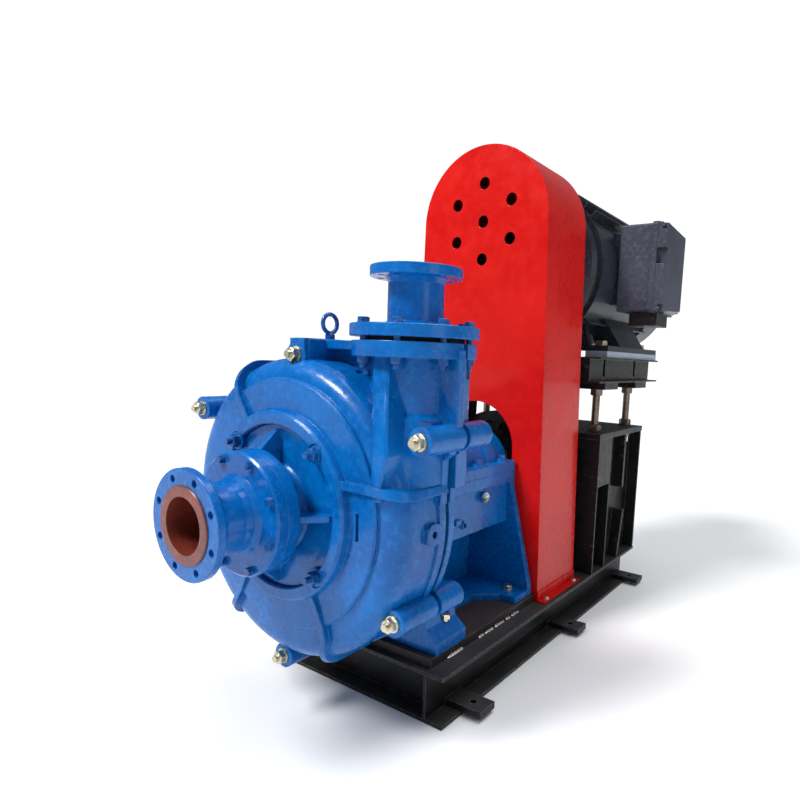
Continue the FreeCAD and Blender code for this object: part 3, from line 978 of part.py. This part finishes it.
mb = []
for (x, y) in mh:
    b = cz(13.5, x, y, PL_Z1 - 26, BP_Z1 + 22 + 10).fuse([cz(24.0, x, y, BP_Z1 + 22, BP_Z1 + 26), hex_head(41, (x, y, BP_Z1 + 26), (0, 0, 1), 18, rot=5)])
    mb.append(b)
plat2 = plat.cut([cz(13.7, x, y, PL_Z1 - 27, PL_Z1 + 5) for (x, y) in mh])
put("platform_frame", plat2)
put("motor_bolts", mb)
print("nodes", len(NODES))
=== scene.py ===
import json
import math
import bpy
import bmesh
from mathutils import Vector, Matrix, noise


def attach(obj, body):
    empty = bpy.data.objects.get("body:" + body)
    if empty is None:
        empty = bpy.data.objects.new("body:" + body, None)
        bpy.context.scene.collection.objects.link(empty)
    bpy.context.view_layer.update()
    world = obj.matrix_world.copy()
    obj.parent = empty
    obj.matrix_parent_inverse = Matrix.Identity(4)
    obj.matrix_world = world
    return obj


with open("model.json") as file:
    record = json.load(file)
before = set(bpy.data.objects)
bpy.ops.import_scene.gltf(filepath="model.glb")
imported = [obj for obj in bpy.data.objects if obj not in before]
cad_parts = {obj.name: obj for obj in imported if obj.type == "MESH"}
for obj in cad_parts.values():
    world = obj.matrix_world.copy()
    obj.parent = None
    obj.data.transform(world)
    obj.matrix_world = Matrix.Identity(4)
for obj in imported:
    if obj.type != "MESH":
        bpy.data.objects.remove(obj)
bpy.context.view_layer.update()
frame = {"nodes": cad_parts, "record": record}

NODES = frame["nodes"]
REC = frame["record"]
SLOT_OF = {s["node"]: s["material_slot"] for s in REC["subparts"]}
MM = 0.001


# --------------------------------------------------------------- node helpers
class NT:
    def __init__(self, name):
        self.mat = bpy.data.materials.new(name)
        self.mat.use_nodes = True
        self.t = self.mat.node_tree
        self.t.nodes.clear()
        self.out = self.t.nodes.new("ShaderNodeOutputMaterial")
        self.bsdf = self.t.nodes.new("ShaderNodeBsdfPrincipled")
        self.t.links.new(self.bsdf.outputs[0], self.out.inputs[0])
        self.tc = self.t.nodes.new("ShaderNodeTexCoord")
        self.geo = self.t.nodes.new("ShaderNodeNewGeometry")

    def link(self, a, b):
        self.t.links.new(a, b)

    def put(self, sock, v):
        if hasattr(v, "is_linked") or hasattr(v, "links"):
            self.link(v, sock)
        else:
            sock.default_value = v

    def coords(self, scale=(1, 1, 1)):
        m = self.t.nodes.new("ShaderNodeMapping")
        m.inputs["Scale"].default_value = scale
        self.link(self.tc.outputs["Object"], m.inputs["Vector"])
        return m.outputs[0]

    def noise(self, scale, detail=3.0, rough=0.55, vec=None, lac=2.0, dist=0.0):
        n = self.t.nodes.new("ShaderNodeTexNoise")
        n.inputs["Scale"].default_value = scale
        n.inputs["Detail"].default_value = detail
        n.inputs["Roughness"].default_value = rough
        n.inputs["Lacunarity"].default_value = lac
        n.inputs["Distortion"].default_value = dist
        self.link(vec if vec is not None else self.tc.outputs["Object"], n.inputs["Vector"])
        return n.outputs["Fac"]

    def voronoi(self, scale, feature="F1", vec=None, out="Distance", rand=1.0):
        n = self.t.nodes.new("ShaderNodeTexVoronoi")
        n.feature = feature
        n.inputs["Scale"].default_value = scale
        n.inputs["Randomness"].default_value = rand
        self.link(vec if vec is not None else self.tc.outputs["Object"], n.inputs["Vector"])
        return n.outputs[out]

    def wave(self, scale, direction="Z", dist=0.0, detail=2.0, vec=None):
        n = self.t.nodes.new("ShaderNodeTexWave")
        n.bands_direction = direction
        n.inputs["Scale"].default_value = scale
        n.inputs["Distortion"].default_value = dist
        n.inputs["Detail"].default_value = detail
        self.link(vec if vec is not None else self.tc.outputs["Object"], n.inputs["Vector"])
        return n.outputs["Fac"]

    def ramp(self, fac, stops, interp="LINEAR"):
        n = self.t.nodes.new("ShaderNodeValToRGB")
        n.color_ramp.interpolation = interp
        els = n.color_ramp.elements
        while len(els) < len(stops):
            els.new(0.5)
        for e, (p, c) in zip(els, stops):
            e.position = p
            e.color = (c, c, c, 1) if isinstance(c, (int, float)) else (c[0], c[1], c[2], 1)
        self.link(fac, n.inputs[0])
        return n.outputs[0]

    def math(self, op, a, b=0.0, clamp=False):
        n = self.t.nodes.new("ShaderNodeMath")
        n.operation = op
        n.use_clamp = clamp
        self.put(n.inputs[0], a)
        self.put(n.inputs[1], b)
        return n.outputs[0]

    def mix(self, fac, a, b, blend="MIX"):
        n = self.t.nodes.new("ShaderNodeMix")
        n.data_type = "RGBA"
        n.blend_type = blend
        self.put(n.inputs[0], fac)
        for sock, v in ((n.inputs[6], a), (n.inputs[7], b)):
            if isinstance(v, tuple):
                sock.default_value = (v[0], v[1], v[2], 1)
            else:
                self.link(v, sock)
        return n.outputs[2]

    def mixf(self, fac, a, b):
        n = self.t.nodes.new("ShaderNodeMix")
        n.data_type = "FLOAT"
        self.put(n.inputs[0], fac)
        self.put(n.inputs[2], a)
        self.put(n.inputs[3], b)
        return n.outputs[0]

    def bevel(self, radius, samples=4):
        n = self.t.nodes.new("ShaderNodeBevel")
        n.samples = samples
        n.inputs["Radius"].default_value = radius
        return n.outputs[0]

    def edge(self, radius, lo=0.02, hi=0.25, samples=4):
        """1 at edges, 0 on faces, from a rounded normal against the true one."""
        b = self.bevel(radius, samples)
        d = self.t.nodes.new("ShaderNodeVectorMath")
        d.operation = "DOT_PRODUCT"
        self.link(b, d.inputs[0])
        self.link(self.geo.outputs["Normal"], d.inputs[1])
        inv = self.math("SUBTRACT", 1.0, d.outputs["Value"], True)
        m = self.t.nodes.new("ShaderNodeMapRange")
        m.inputs[1].default_value = lo
        m.inputs[2].default_value = hi
        self.link(inv, m.inputs[0])
        return m.outputs[0]

    def up(self):
        """1 on faces that look up."""
        s = self.t.nodes.new("ShaderNodeSeparateXYZ")
        self.link(self.geo.outputs["Normal"], s.inputs[0])
        return self.math("MAXIMUM", s.outputs[2], 0.0)

    def bump(self, height, strength, distance, normal=None):
        n = self.t.nodes.new("ShaderNodeBump")
        n.inputs["Strength"].default_value = strength
        n.inputs["Distance"].default_value = distance
        self.link(height, n.inputs["Height"])
        if normal is not None:
            self.link(normal, n.inputs["Normal"])
        return n.outputs[0]

    def set(self, **kw):
        names = {"color": "Base Color", "rough": "Roughness", "metal": "Metallic", "spec": "Specular IOR Level", "coat": "Coat Weight",
                 "coat_rough": "Coat Roughness", "normal": "Normal", "sheen": "Sheen Weight", "trans": "Transmission Weight", "ior": "IOR",
                 "aniso": "Anisotropic", "coat_normal": "Coat Normal"}
        for k, v in kw.items():
            s = self.bsdf.inputs[names[k]]
            if isinstance(v, tuple):
                s.default_value = (v[0], v[1], v[2], 1)
            elif isinstance(v, (int, float)):
                s.default_value = v
            else:
                self.link(v, s)
        return self.mat


def srgb(r, g, b):
    f = lambda c: c / 12.92 if c <= 0.04045 else ((c + 0.055) / 1.055) ** 2.4
    return (f(r / 255.0), f(g / 255.0), f(b / 255.0))


def enamel(name, deep, mid, light, cast=1.0, edge_r=0.003, rough=0.24, wear=0.0, coat=0.6, chip=0.0, grain=55.0):
    """Gloss enamel over metal: cast = how rough the casting under it is."""
    m = NT(name)
    big = m.noise(5.0, 3.0, 0.6)
    med = m.noise(grain, 4.0, 0.62)
    fine = m.noise(grain * 5.2, 3.0, 0.6)
    drip = m.noise(9.0, 2.0, 0.5, m.coords((1.0, 1.0, 0.25)))
    col = m.mix(m.ramp(big, [(0.32, 0.0), (0.68, 1.0)]), deep, mid)
    col = m.mix(m.ramp(med, [(0.50, 0.0), (0.78, 0.65)]), col, light)
    col = m.mix(m.ramp(drip, [(0.55, 0.0), (0.75, 0.30)]), col, deep)
    n0 = m.bevel(edge_r, 6)
    edge = m.edge(edge_r * 1.6, 0.03, 0.32)
    # painted highlight: every edge is lightened toward the light tone, standing in for light catching the rounded edges
    # (not wear)
    col = m.mix(m.math("MULTIPLY", edge, 0.22), col, light)
    if wear > 0:
        ch = m.math("MULTIPLY", edge, m.ramp(m.noise(90.0, 4.0, 0.7), [(0.56, 0.0), (0.64, 1.0)]))
        col = m.mix(m.math("MULTIPLY", ch, wear), col, srgb(120, 118, 116))
    if chip > 0:
        sp = m.ramp(m.noise(260.0, 2.0, 0.5), [(0.70, 0.0), (0.74, 1.0)])
        col = m.mix(m.math("MULTIPLY", sp, chip), col, deep)
    h = m.math("ADD", m.math("MULTIPLY", med, 1.0 * cast), m.math("MULTIPLY", fine, 0.22 * cast + 0.05))
    h = m.math("ADD", h, m.math("MULTIPLY", m.noise(14.0, 2.0, 0.5), 0.9 * cast))
    nrm = m.bump(h, 0.45, 0.0022 * cast + 0.0004, n0)
    r = m.ramp(m.math("ADD", m.math("MULTIPLY", med, 0.6), m.math("MULTIPLY", big, 0.4)), [(0.35, rough * 0.75), (0.70, rough * 1.55)])
    m.set(color=col, rough=r, normal=nrm, spec=0.15, coat=coat, coat_rough=0.07, metal=0.0)
    m.link(m.bump(m.math("ADD", m.math("MULTIPLY", med, 0.55 * cast), m.math("MULTIPLY", m.noise(14.0, 2.0, 0.5), 0.8 * cast)), 0.35, 0.0018 * cast + 0.0003, n0), m.bsdf.inputs["Coat Normal"])
    return m.mat


def satin_black(name, base, dust, dust_amt=0.6, wear=0.7, rough=0.42, edge_r=0.0025):
    """Thin black paint on rolled steel: dust on upward faces, grey rubbed edges, mill scale."""
    m = NT(name)
    big = m.noise(4.0, 4.0, 0.65)
    scale_ = m.noise(38.0, 5.0, 0.7)
    fine = m.noise(320.0, 3.0, 0.6)
    streak = m.noise(24.0, 3.0, 0.6, m.coords((1.0, 0.12, 1.0)))
    col = m.mix(m.ramp(scale_, [(0.35, 0.0), (0.75, 1.0)]), base, tuple(min(1, c * 2.1 + 0.004) for c in base))
    up = m.up()
    d = m.math("MULTIPLY", m.math("POWER", up, 2.0), m.ramp(m.math("ADD", m.math("MULTIPLY", big, 0.5), m.math("MULTIPLY", streak, 0.5)), [(0.36, 0.35), (0.62, 1.0)]))
    col = m.mix(m.math("MULTIPLY", d, dust_amt), col, dust)
    n0 = m.bevel(edge_r, 6)
    e = m.edge(edge_r * 1.8, 0.03, 0.28)
    e = m.math("MULTIPLY", e, m.ramp(m.noise(60.0, 5.0, 0.75), [(0.40, 0.0), (0.62, 1.0)]))
    col = m.mix(m.math("MULTIPLY", e, wear), col, srgb(168, 166, 164))
    sc = m.ramp(m.noise(70.0, 2.0, 0.5, m.coords((0.6, 0.04, 1.0))), [(0.66, 0.0), (0.72, 1.0)])
    col = m.mix(m.math("MULTIPLY", sc, 0.22), col, srgb(120, 118, 116))
    nrm = m.bump(m.math("ADD", scale_, m.math("MULTIPLY", fine, 0.35)), 0.35, 0.0009, n0)
    r = m.mixf(d, m.ramp(scale_, [(0.3, rough * 0.8), (0.75, rough * 1.35)]), 0.62)
    return m.set(color=col, rough=r, normal=nrm, spec=0.25, coat=0.06, coat_rough=0.25)


def metal(name, col_a, col_b, rough=0.3, aniso=0.0, lines=None, stain=0.3, edge_r=0.0012, stain_col=(0.12, 0.08, 0.05), dent=0.4, metallic=1.0):
    """Bare or plated steel with stains, tool marks and rubbed edges."""
    m = NT(name)
    a = m.noise(30.0, 4.0, 0.65)
    b = m.noise(220.0, 4.0, 0.65)
    col = m.mix(m.ramp(b, [(0.35, 0.0), (0.70, 1.0)]), col_a, col_b)
    col = m.mix(m.math("MULTIPLY", m.ramp(a, [(0.48, 0.0), (0.74, 1.0)]), stain), col, stain_col)
    n0 = m.bevel(edge_r, 4)
    e = m.edge(edge_r * 2.0, 0.04, 0.30)
    col = m.mix(m.math("MULTIPLY", e, 0.35), col, tuple(min(1.0, c * 1.35) for c in col_b))
    h = m.math("MULTIPLY", b, dent)
    if lines:
        h = m.math("ADD", h, m.math("MULTIPLY", m.wave(lines[0], lines[1], 1.5, 3.0), lines[2]))
    nrm = m.bump(h, 0.35, 0.0005, n0)
    r = m.ramp(m.math("ADD", m.math("MULTIPLY", a, 0.5), m.math("MULTIPLY", b, 0.5)), [(0.35, rough * 0.75), (0.70, min(1.0, rough * 1.6))])
    return m.set(color=col, rough=r, normal=nrm, metal=metallic, aniso=aniso)


def moulded(name, col_a, col_b, rough=0.45, grain=180.0, edge_r=0.0015, spec=0.45, depth=0.0003, coat=0.0):
    m = NT(name)
    a = m.noise(18.0, 3.0, 0.6)
    b = m.noise(grain, 4.0, 0.6)
    col = m.mix(m.ramp(a, [(0.35, 0.0), (0.70, 1.0)]), col_a, col_b)
    col = m.mix(m.math("MULTIPLY", m.ramp(b, [(0.5, 0.0), (0.8, 1.0)]), 0.35), col, tuple(c * 0.55 for c in col_a))
    n0 = m.bevel(edge_r, 4)
    nrm = m.bump(b, 0.4, depth, n0)
    return m.set(color=col, rough=m.ramp(b, [(0.3, rough * 0.8), (0.75, rough * 1.3)]), normal=nrm, spec=spec, coat=coat, coat_rough=0.2)


MAT = {}
BLUE_D, BLUE_M, BLUE_L = srgb(0, 78, 150), srgb(0, 102, 180), srgb(18, 126, 202)
MAT["blue_cast"] = enamel("blue_cast", BLUE_D, BLUE_M, BLUE_L, 1.0, 0.0045, 0.26, 0.15, 0.30)
MAT["blue_machined"] = enamel("blue_machined", srgb(0, 78, 152), srgb(2, 98, 176), srgb(22, 124, 200), 0.35, 0.0022, 0.24, 0.25, 0.30, 0.0, 70.0)
MAT["blue_fastener"] = enamel("blue_fastener", srgb(2, 62, 128), srgb(6, 86, 158), srgb(52, 130, 196), 0.5, 0.0012, 0.28, 0.45, 0.5, 0.0, 120.0)
MAT["red_guard"] = enamel("red_guard", srgb(190, 14, 10), srgb(206, 18, 12), srgb(216, 28, 20), 0.08, 0.0028, 0.28, 0.2, 0.20, 0.0, 22.0)
MAT["black_frame"] = satin_black("black_frame", srgb(11, 11, 13), srgb(84, 82, 82), 0.42, 0.62)
MAT["brown_deck"] = satin_black("brown_deck", srgb(30, 24, 22), srgb(70, 58, 52), 0.5, 0.4, 0.55)
MAT["zinc_fastener"] = metal("zinc_fastener", srgb(196, 186, 156), srgb(226, 220, 200), 0.30, 0.0, None, 0.45, 0.0012, srgb(92, 78, 56))
MAT["dark_steel"] = metal("dark_steel", srgb(112, 96, 84), srgb(150, 134, 120), 0.38, 0.0, None, 0.55, 0.001, srgb(58, 42, 32))
MAT["bright_steel"] = metal("bright_steel", srgb(190, 190, 192), srgb(214, 214, 216), 0.22, 0.3, (160.0, "Y", 0.5), 0.15)
MAT["hard_iron"] = metal("hard_iron", srgb(112, 110, 108), srgb(146, 144, 140), 0.5, 0.0, None, 0.5, 0.003, srgb(74, 58, 48), 1.4)
MAT["bronze"] = metal("bronze", srgb(168, 122, 60), srgb(204, 160, 92), 0.3, 0.2, (200.0, "Y", 0.4), 0.3, 0.0012, srgb(96, 70, 38))
MAT["copper"] = metal("copper", srgb(150, 82, 48), srgb(190, 110, 70), 0.4, 0.0, (140.0, "Y", 1.0), 0.3)
MAT["lamination"] = metal("lamination", srgb(120, 120, 124), srgb(160, 160, 164), 0.4, 0.2, (320.0, "Y", 1.2), 0.3)
MAT["motor_grey"] = enamel("motor_grey", srgb(30, 32, 40), srgb(42, 45, 56), srgb(72, 76, 90), 0.7, 0.0025, 0.38, 0.3, 0.25, 0.0, 60.0)
MAT["box_grey"] = enamel("box_grey", srgb(54, 57, 68), srgb(70, 74, 88), srgb(98, 104, 120), 0.4, 0.003, 0.40, 0.25, 0.25, 0.0, 60.0)
MAT["foot_grey"] = enamel("foot_grey", srgb(150, 162, 184), srgb(176, 190, 210), srgb(206, 216, 230), 0.5, 0.003, 0.36, 0.35, 0.3, 0.0, 60.0)
MAT["pulley_black"] = satin_black("pulley_black", srgb(16, 16, 18), srgb(60, 60, 62), 0.25, 0.5, 0.4)
MAT["belt_rubber"] = moulded("belt_rubber", srgb(22, 22, 23), srgb(34, 34, 35), 0.72, 260.0, 0.0008)
MAT["seal_black"] = moulded("seal_black", srgb(12, 12, 13), srgb(22, 22, 23), 0.8, 220.0, 0.0008)
MAT["liner_red"] = moulded("liner_red", srgb(92, 34, 26), srgb(128, 52, 38), 0.42, 90.0, 0.003, 0.5, 0.0008, 0.25)
MAT["packing_grey"] = moulded("packing_grey", srgb(70, 70, 68), srgb(110, 108, 104), 0.7, 320.0, 0.0008)


def gauge_glass():
    m = NT("gauge_glass")
    a = m.noise(60.0, 3.0, 0.6)
    s = m.t.nodes.new("ShaderNodeSeparateXYZ")
    m.link(m.tc.outputs["Object"], s.inputs[0])
    oil = m.ramp(m.math("MULTIPLY", m.math("SUBTRACT", s.outputs[2], 0.519), 29.4), [(0.50, 0.0), (0.56, 1.0)])
    col = m.mix(oil, srgb(96, 70, 30), srgb(176, 196, 208))
    col = m.mix(m.ramp(a, [(0.5, 0.0), (0.8, 0.4)]), col, srgb(120, 140, 160))
    return m.set(color=col, rough=m.ramp(a, [(0.3, 0.06), (0.8, 0.16)]), spec=0.6, coat=0.8, coat_rough=0.03, normal=m.bevel(0.0015, 4))


MAT["gauge_glass"] = gauge_glass()

for name, obj in NODES.items():
    mat = MAT[SLOT_OF[name]]
    obj.data.materials.clear()
    obj.data.materials.append(mat)

# ------------------------------------------------------------------ weld bead
def weld_bead(name, sx, runs):
    """Rippled fillet in the corner between the deck's edge and the channel's flange."""
    me = bpy.data.meshes.new(name)
    bm = bmesh.new()
    for y0, y1 in runs:
        n = max(4, int((y1 - y0) / 0.0015))
        rings = []
        for i in range(n + 1):
            f = i / n
            y = y0 + (y1 - y0) * f
            end = min(1.0, 0.25 + 9.0 * min(f, 1.0 - f))
            leg = (0.0062 + 0.0007 * math.sin(61.0 * y) + 0.0006 * math.sin(2 * math.pi * y / 0.0052)) * end
            pts = [(0.2761, 0.1461)]
            for k in range(7):
                a = math.pi / 2 * k / 6
                b = 0.80 + 0.20 * math.cos(4 * a)
                pts.append((0.2761 + leg * math.sin(a) * b, 0.1461 + leg * math.cos(a) * b))
            rings.append([bm.verts.new((sx * x, y, z)) for x, z in pts])
        m = len(rings[0])
        for a, b in zip(rings, rings[1:]):
            for k in range(m):
                q = (a[k], a[(k + 1) % m], b[(k + 1) % m], b[k])
                bm.faces.new(q if sx > 0 else q[::-1])
        bm.faces.new(rings[0][::-1] if sx > 0 else rings[0])
        bm.faces.new(rings[-1] if sx > 0 else rings[-1][::-1])
    bmesh.ops.recalc_face_normals(bm, faces=bm.faces[:])
    for f in bm.faces:
        f.smooth = True
    bm.to_mesh(me)
    bm.free()
    o = bpy.data.objects.new(name, me)
    bpy.context.collection.objects.link(o)
    me.materials.append(MAT["bright_steel"])
    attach(o, "pump_base")
    return o


weld_bead("weld_bead_right", 1, [(-0.640, -0.560), (-0.482, -0.452), (-0.446, -0.398), (-0.390, -0.332), (-0.322, -0.296), (-0.288, -0.236)])
weld_bead("weld_bead_left", -1, [(-0.640, -0.560), (-0.480, -0.400), (-0.330, -0.240)])

# ------------------------------------------------------------ stage and light
def floor():
    me = bpy.data.meshes.new("studio_floor")
    bm = bmesh.new()
    n = 24
    R = 60.0
    vs = [[bm.verts.new((-R + 2 * R * i / n, -R + 2 * R * j / n, -0.0005)) for j in range(n + 1)] for i in range(n + 1)]
    for i in range(n):
        for j in range(n):
            bm.faces.new((vs[i][j], vs[i + 1][j], vs[i + 1][j + 1], vs[i][j + 1]))
    bm.to_mesh(me)
    bm.free()
    o = bpy.data.objects.new("studio_floor", me)
    bpy.context.collection.objects.link(o)
    m = NT("studio_floor")
    a = m.noise(1.5, 2.0, 0.5)
    m.set(color=m.mix(a, (0.90, 0.90, 0.90), (0.94, 0.94, 0.94)), rough=0.85, spec=0.2)
    me.materials.append(m.mat)
    return o


floor()
world = bpy.data.worlds.new("studio")
bpy.context.scene.world = world
world.use_nodes = True
wt = world.node_tree
wt.nodes.clear()
wo = wt.nodes.new("ShaderNodeOutputWorld")
bg = wt.nodes.new("ShaderNodeBackground")
bgc = wt.nodes.new("ShaderNodeBackground")
wmix = wt.nodes.new("ShaderNodeMixShader")
lp = wt.nodes.new("ShaderNodeLightPath")
tcw = wt.nodes.new("ShaderNodeTexCoord")
sep = wt.nodes.new("ShaderNodeSeparateXYZ")
rmp = wt.nodes.new("ShaderNodeValToRGB")
mr = wt.nodes.new("ShaderNodeMapRange")
mr.inputs[1].default_value = -1.0
mr.inputs[2].default_value = 1.0
wt.links.new(tcw.outputs["Generated"], sep.inputs[0])
wt.links.new(sep.outputs[2], mr.inputs[0])
wt.links.new(mr.outputs[0], rmp.inputs[0])
els = rmp.color_ramp.elements
els[0].position = 0.0
els[0].color = (0.16, 0.16, 0.16, 1)
els[1].position = 1.0
els[1].color = (0.42, 0.44, 0.47, 1)
for p_, c_ in ((0.49, (0.18, 0.18, 0.18)), (0.52, (0.34, 0.35, 0.36)), (0.60, (0.15, 0.155, 0.165)), (0.78, (0.22, 0.235, 0.25))):
    e_ = els.new(p_)
    e_.color = (c_[0], c_[1], c_[2], 1)
wt.links.new(rmp.outputs[0], bg.inputs[0])
bg.inputs[1].default_value = 1.0
bgc.inputs[0].default_value = (1.0, 1.0, 1.0, 1)
bgc.inputs[1].default_value = 1.05
wt.links.new(lp.outputs["Is Camera Ray"], wmix.inputs[0])
wt.links.new(bg.outputs[0], wmix.inputs[1])
wt.links.new(bgc.outputs[0], wmix.inputs[2])
wt.links.new(wmix.outputs[0], wo.inputs[0])


def area(name, loc, aim, size, power, color=(1, 1, 1), size_y=None):
    d = bpy.data.lights.new(name, "AREA")
    d.energy = power
    d.size = size
    d.color = color
    if size_y:
        d.shape = "RECTANGLE"
        d.size_y = size_y
    o = bpy.data.objects.new(name, d)
    bpy.context.collection.objects.link(o)
    o.location = loc
    o.rotation_mode = "QUATERNION"
    o.rotation_quaternion = (Vector(aim) - Vector(loc)).to_track_quat("-Z", "Y")
    return o


def sun(name, toward, strength, angle, color=(1, 1, 1)):
    d = bpy.data.lights.new(name, "SUN")
    d.energy = strength
    d.angle = math.radians(angle)
    d.color = color
    o = bpy.data.objects.new(name, d)
    bpy.context.collection.objects.link(o)
    o.rotation_mode = "QUATERNION"
    o.rotation_quaternion = (-Vector(toward)).to_track_quat("-Z", "Y")
    return o


sun("key", (-0.30, -0.62, 0.80), 2.1, 16.0, (1.0, 0.995, 0.98))
sun("overhead", (0.10, 0.25, 1.0), 1.5, 40.0, (0.97, 0.985, 1.0))
area("softbox", (-0.9, -2.6, 3.4), (0.0, -0.6, 0.9), 1.2, 55.0, (1.0, 1.0, 1.0), 0.5)
area("side", (4.2, -1.4, 2.2), (0.2, 0.1, 0.8), 1.6, 18.0, (0.97, 0.98, 1.0), 2.4)

# ----------------------------------------------------------------- the camera
cam_d = bpy.data.cameras.new("camera")
cam = bpy.data.objects.new("camera", cam_d)
bpy.context.collection.objects.link(cam)
yaw, pitch, roll = math.radians(33.28), math.radians(-7.47), math.radians(2.32)
r0 = Vector((math.cos(yaw), math.sin(yaw), 0))
f0 = Vector((-math.sin(yaw), math.cos(yaw), 0))
fwd = f0 * math.cos(pitch) + Vector((0, 0, 1)) * math.sin(pitch)
u2 = -f0 * math.sin(pitch) + Vector((0, 0, 1)) * math.cos(pitch)
right = r0 * math.cos(roll) + u2 * math.sin(roll)
upv = -r0 * math.sin(roll) + u2 * math.cos(roll)
mw = Matrix(((right.x, upv.x, -fwd.x, 1.1979), (right.y, upv.y, -fwd.y, -1.9253), (right.z, upv.z, -fwd.z, 0.9855), (0, 0, 0, 1)))
cam.matrix_world = mw
cam_d.sensor_width = 36.0
cam_d.lens = 596.6 / 800.0 * 36.0
cam_d.shift_x = (400.0 - 479.3) / 800.0
cam_d.shift_y = (436.4 - 400.0) / 800.0
cam_d.clip_start, cam_d.clip_end = 0.05, 200.0
bpy.context.scene.camera = cam
bpy.context.scene.view_settings.view_transform = "Standard"
bpy.context.scene.view_settings.look = "None"
bpy.context.scene.view_settings.exposure = 0.0
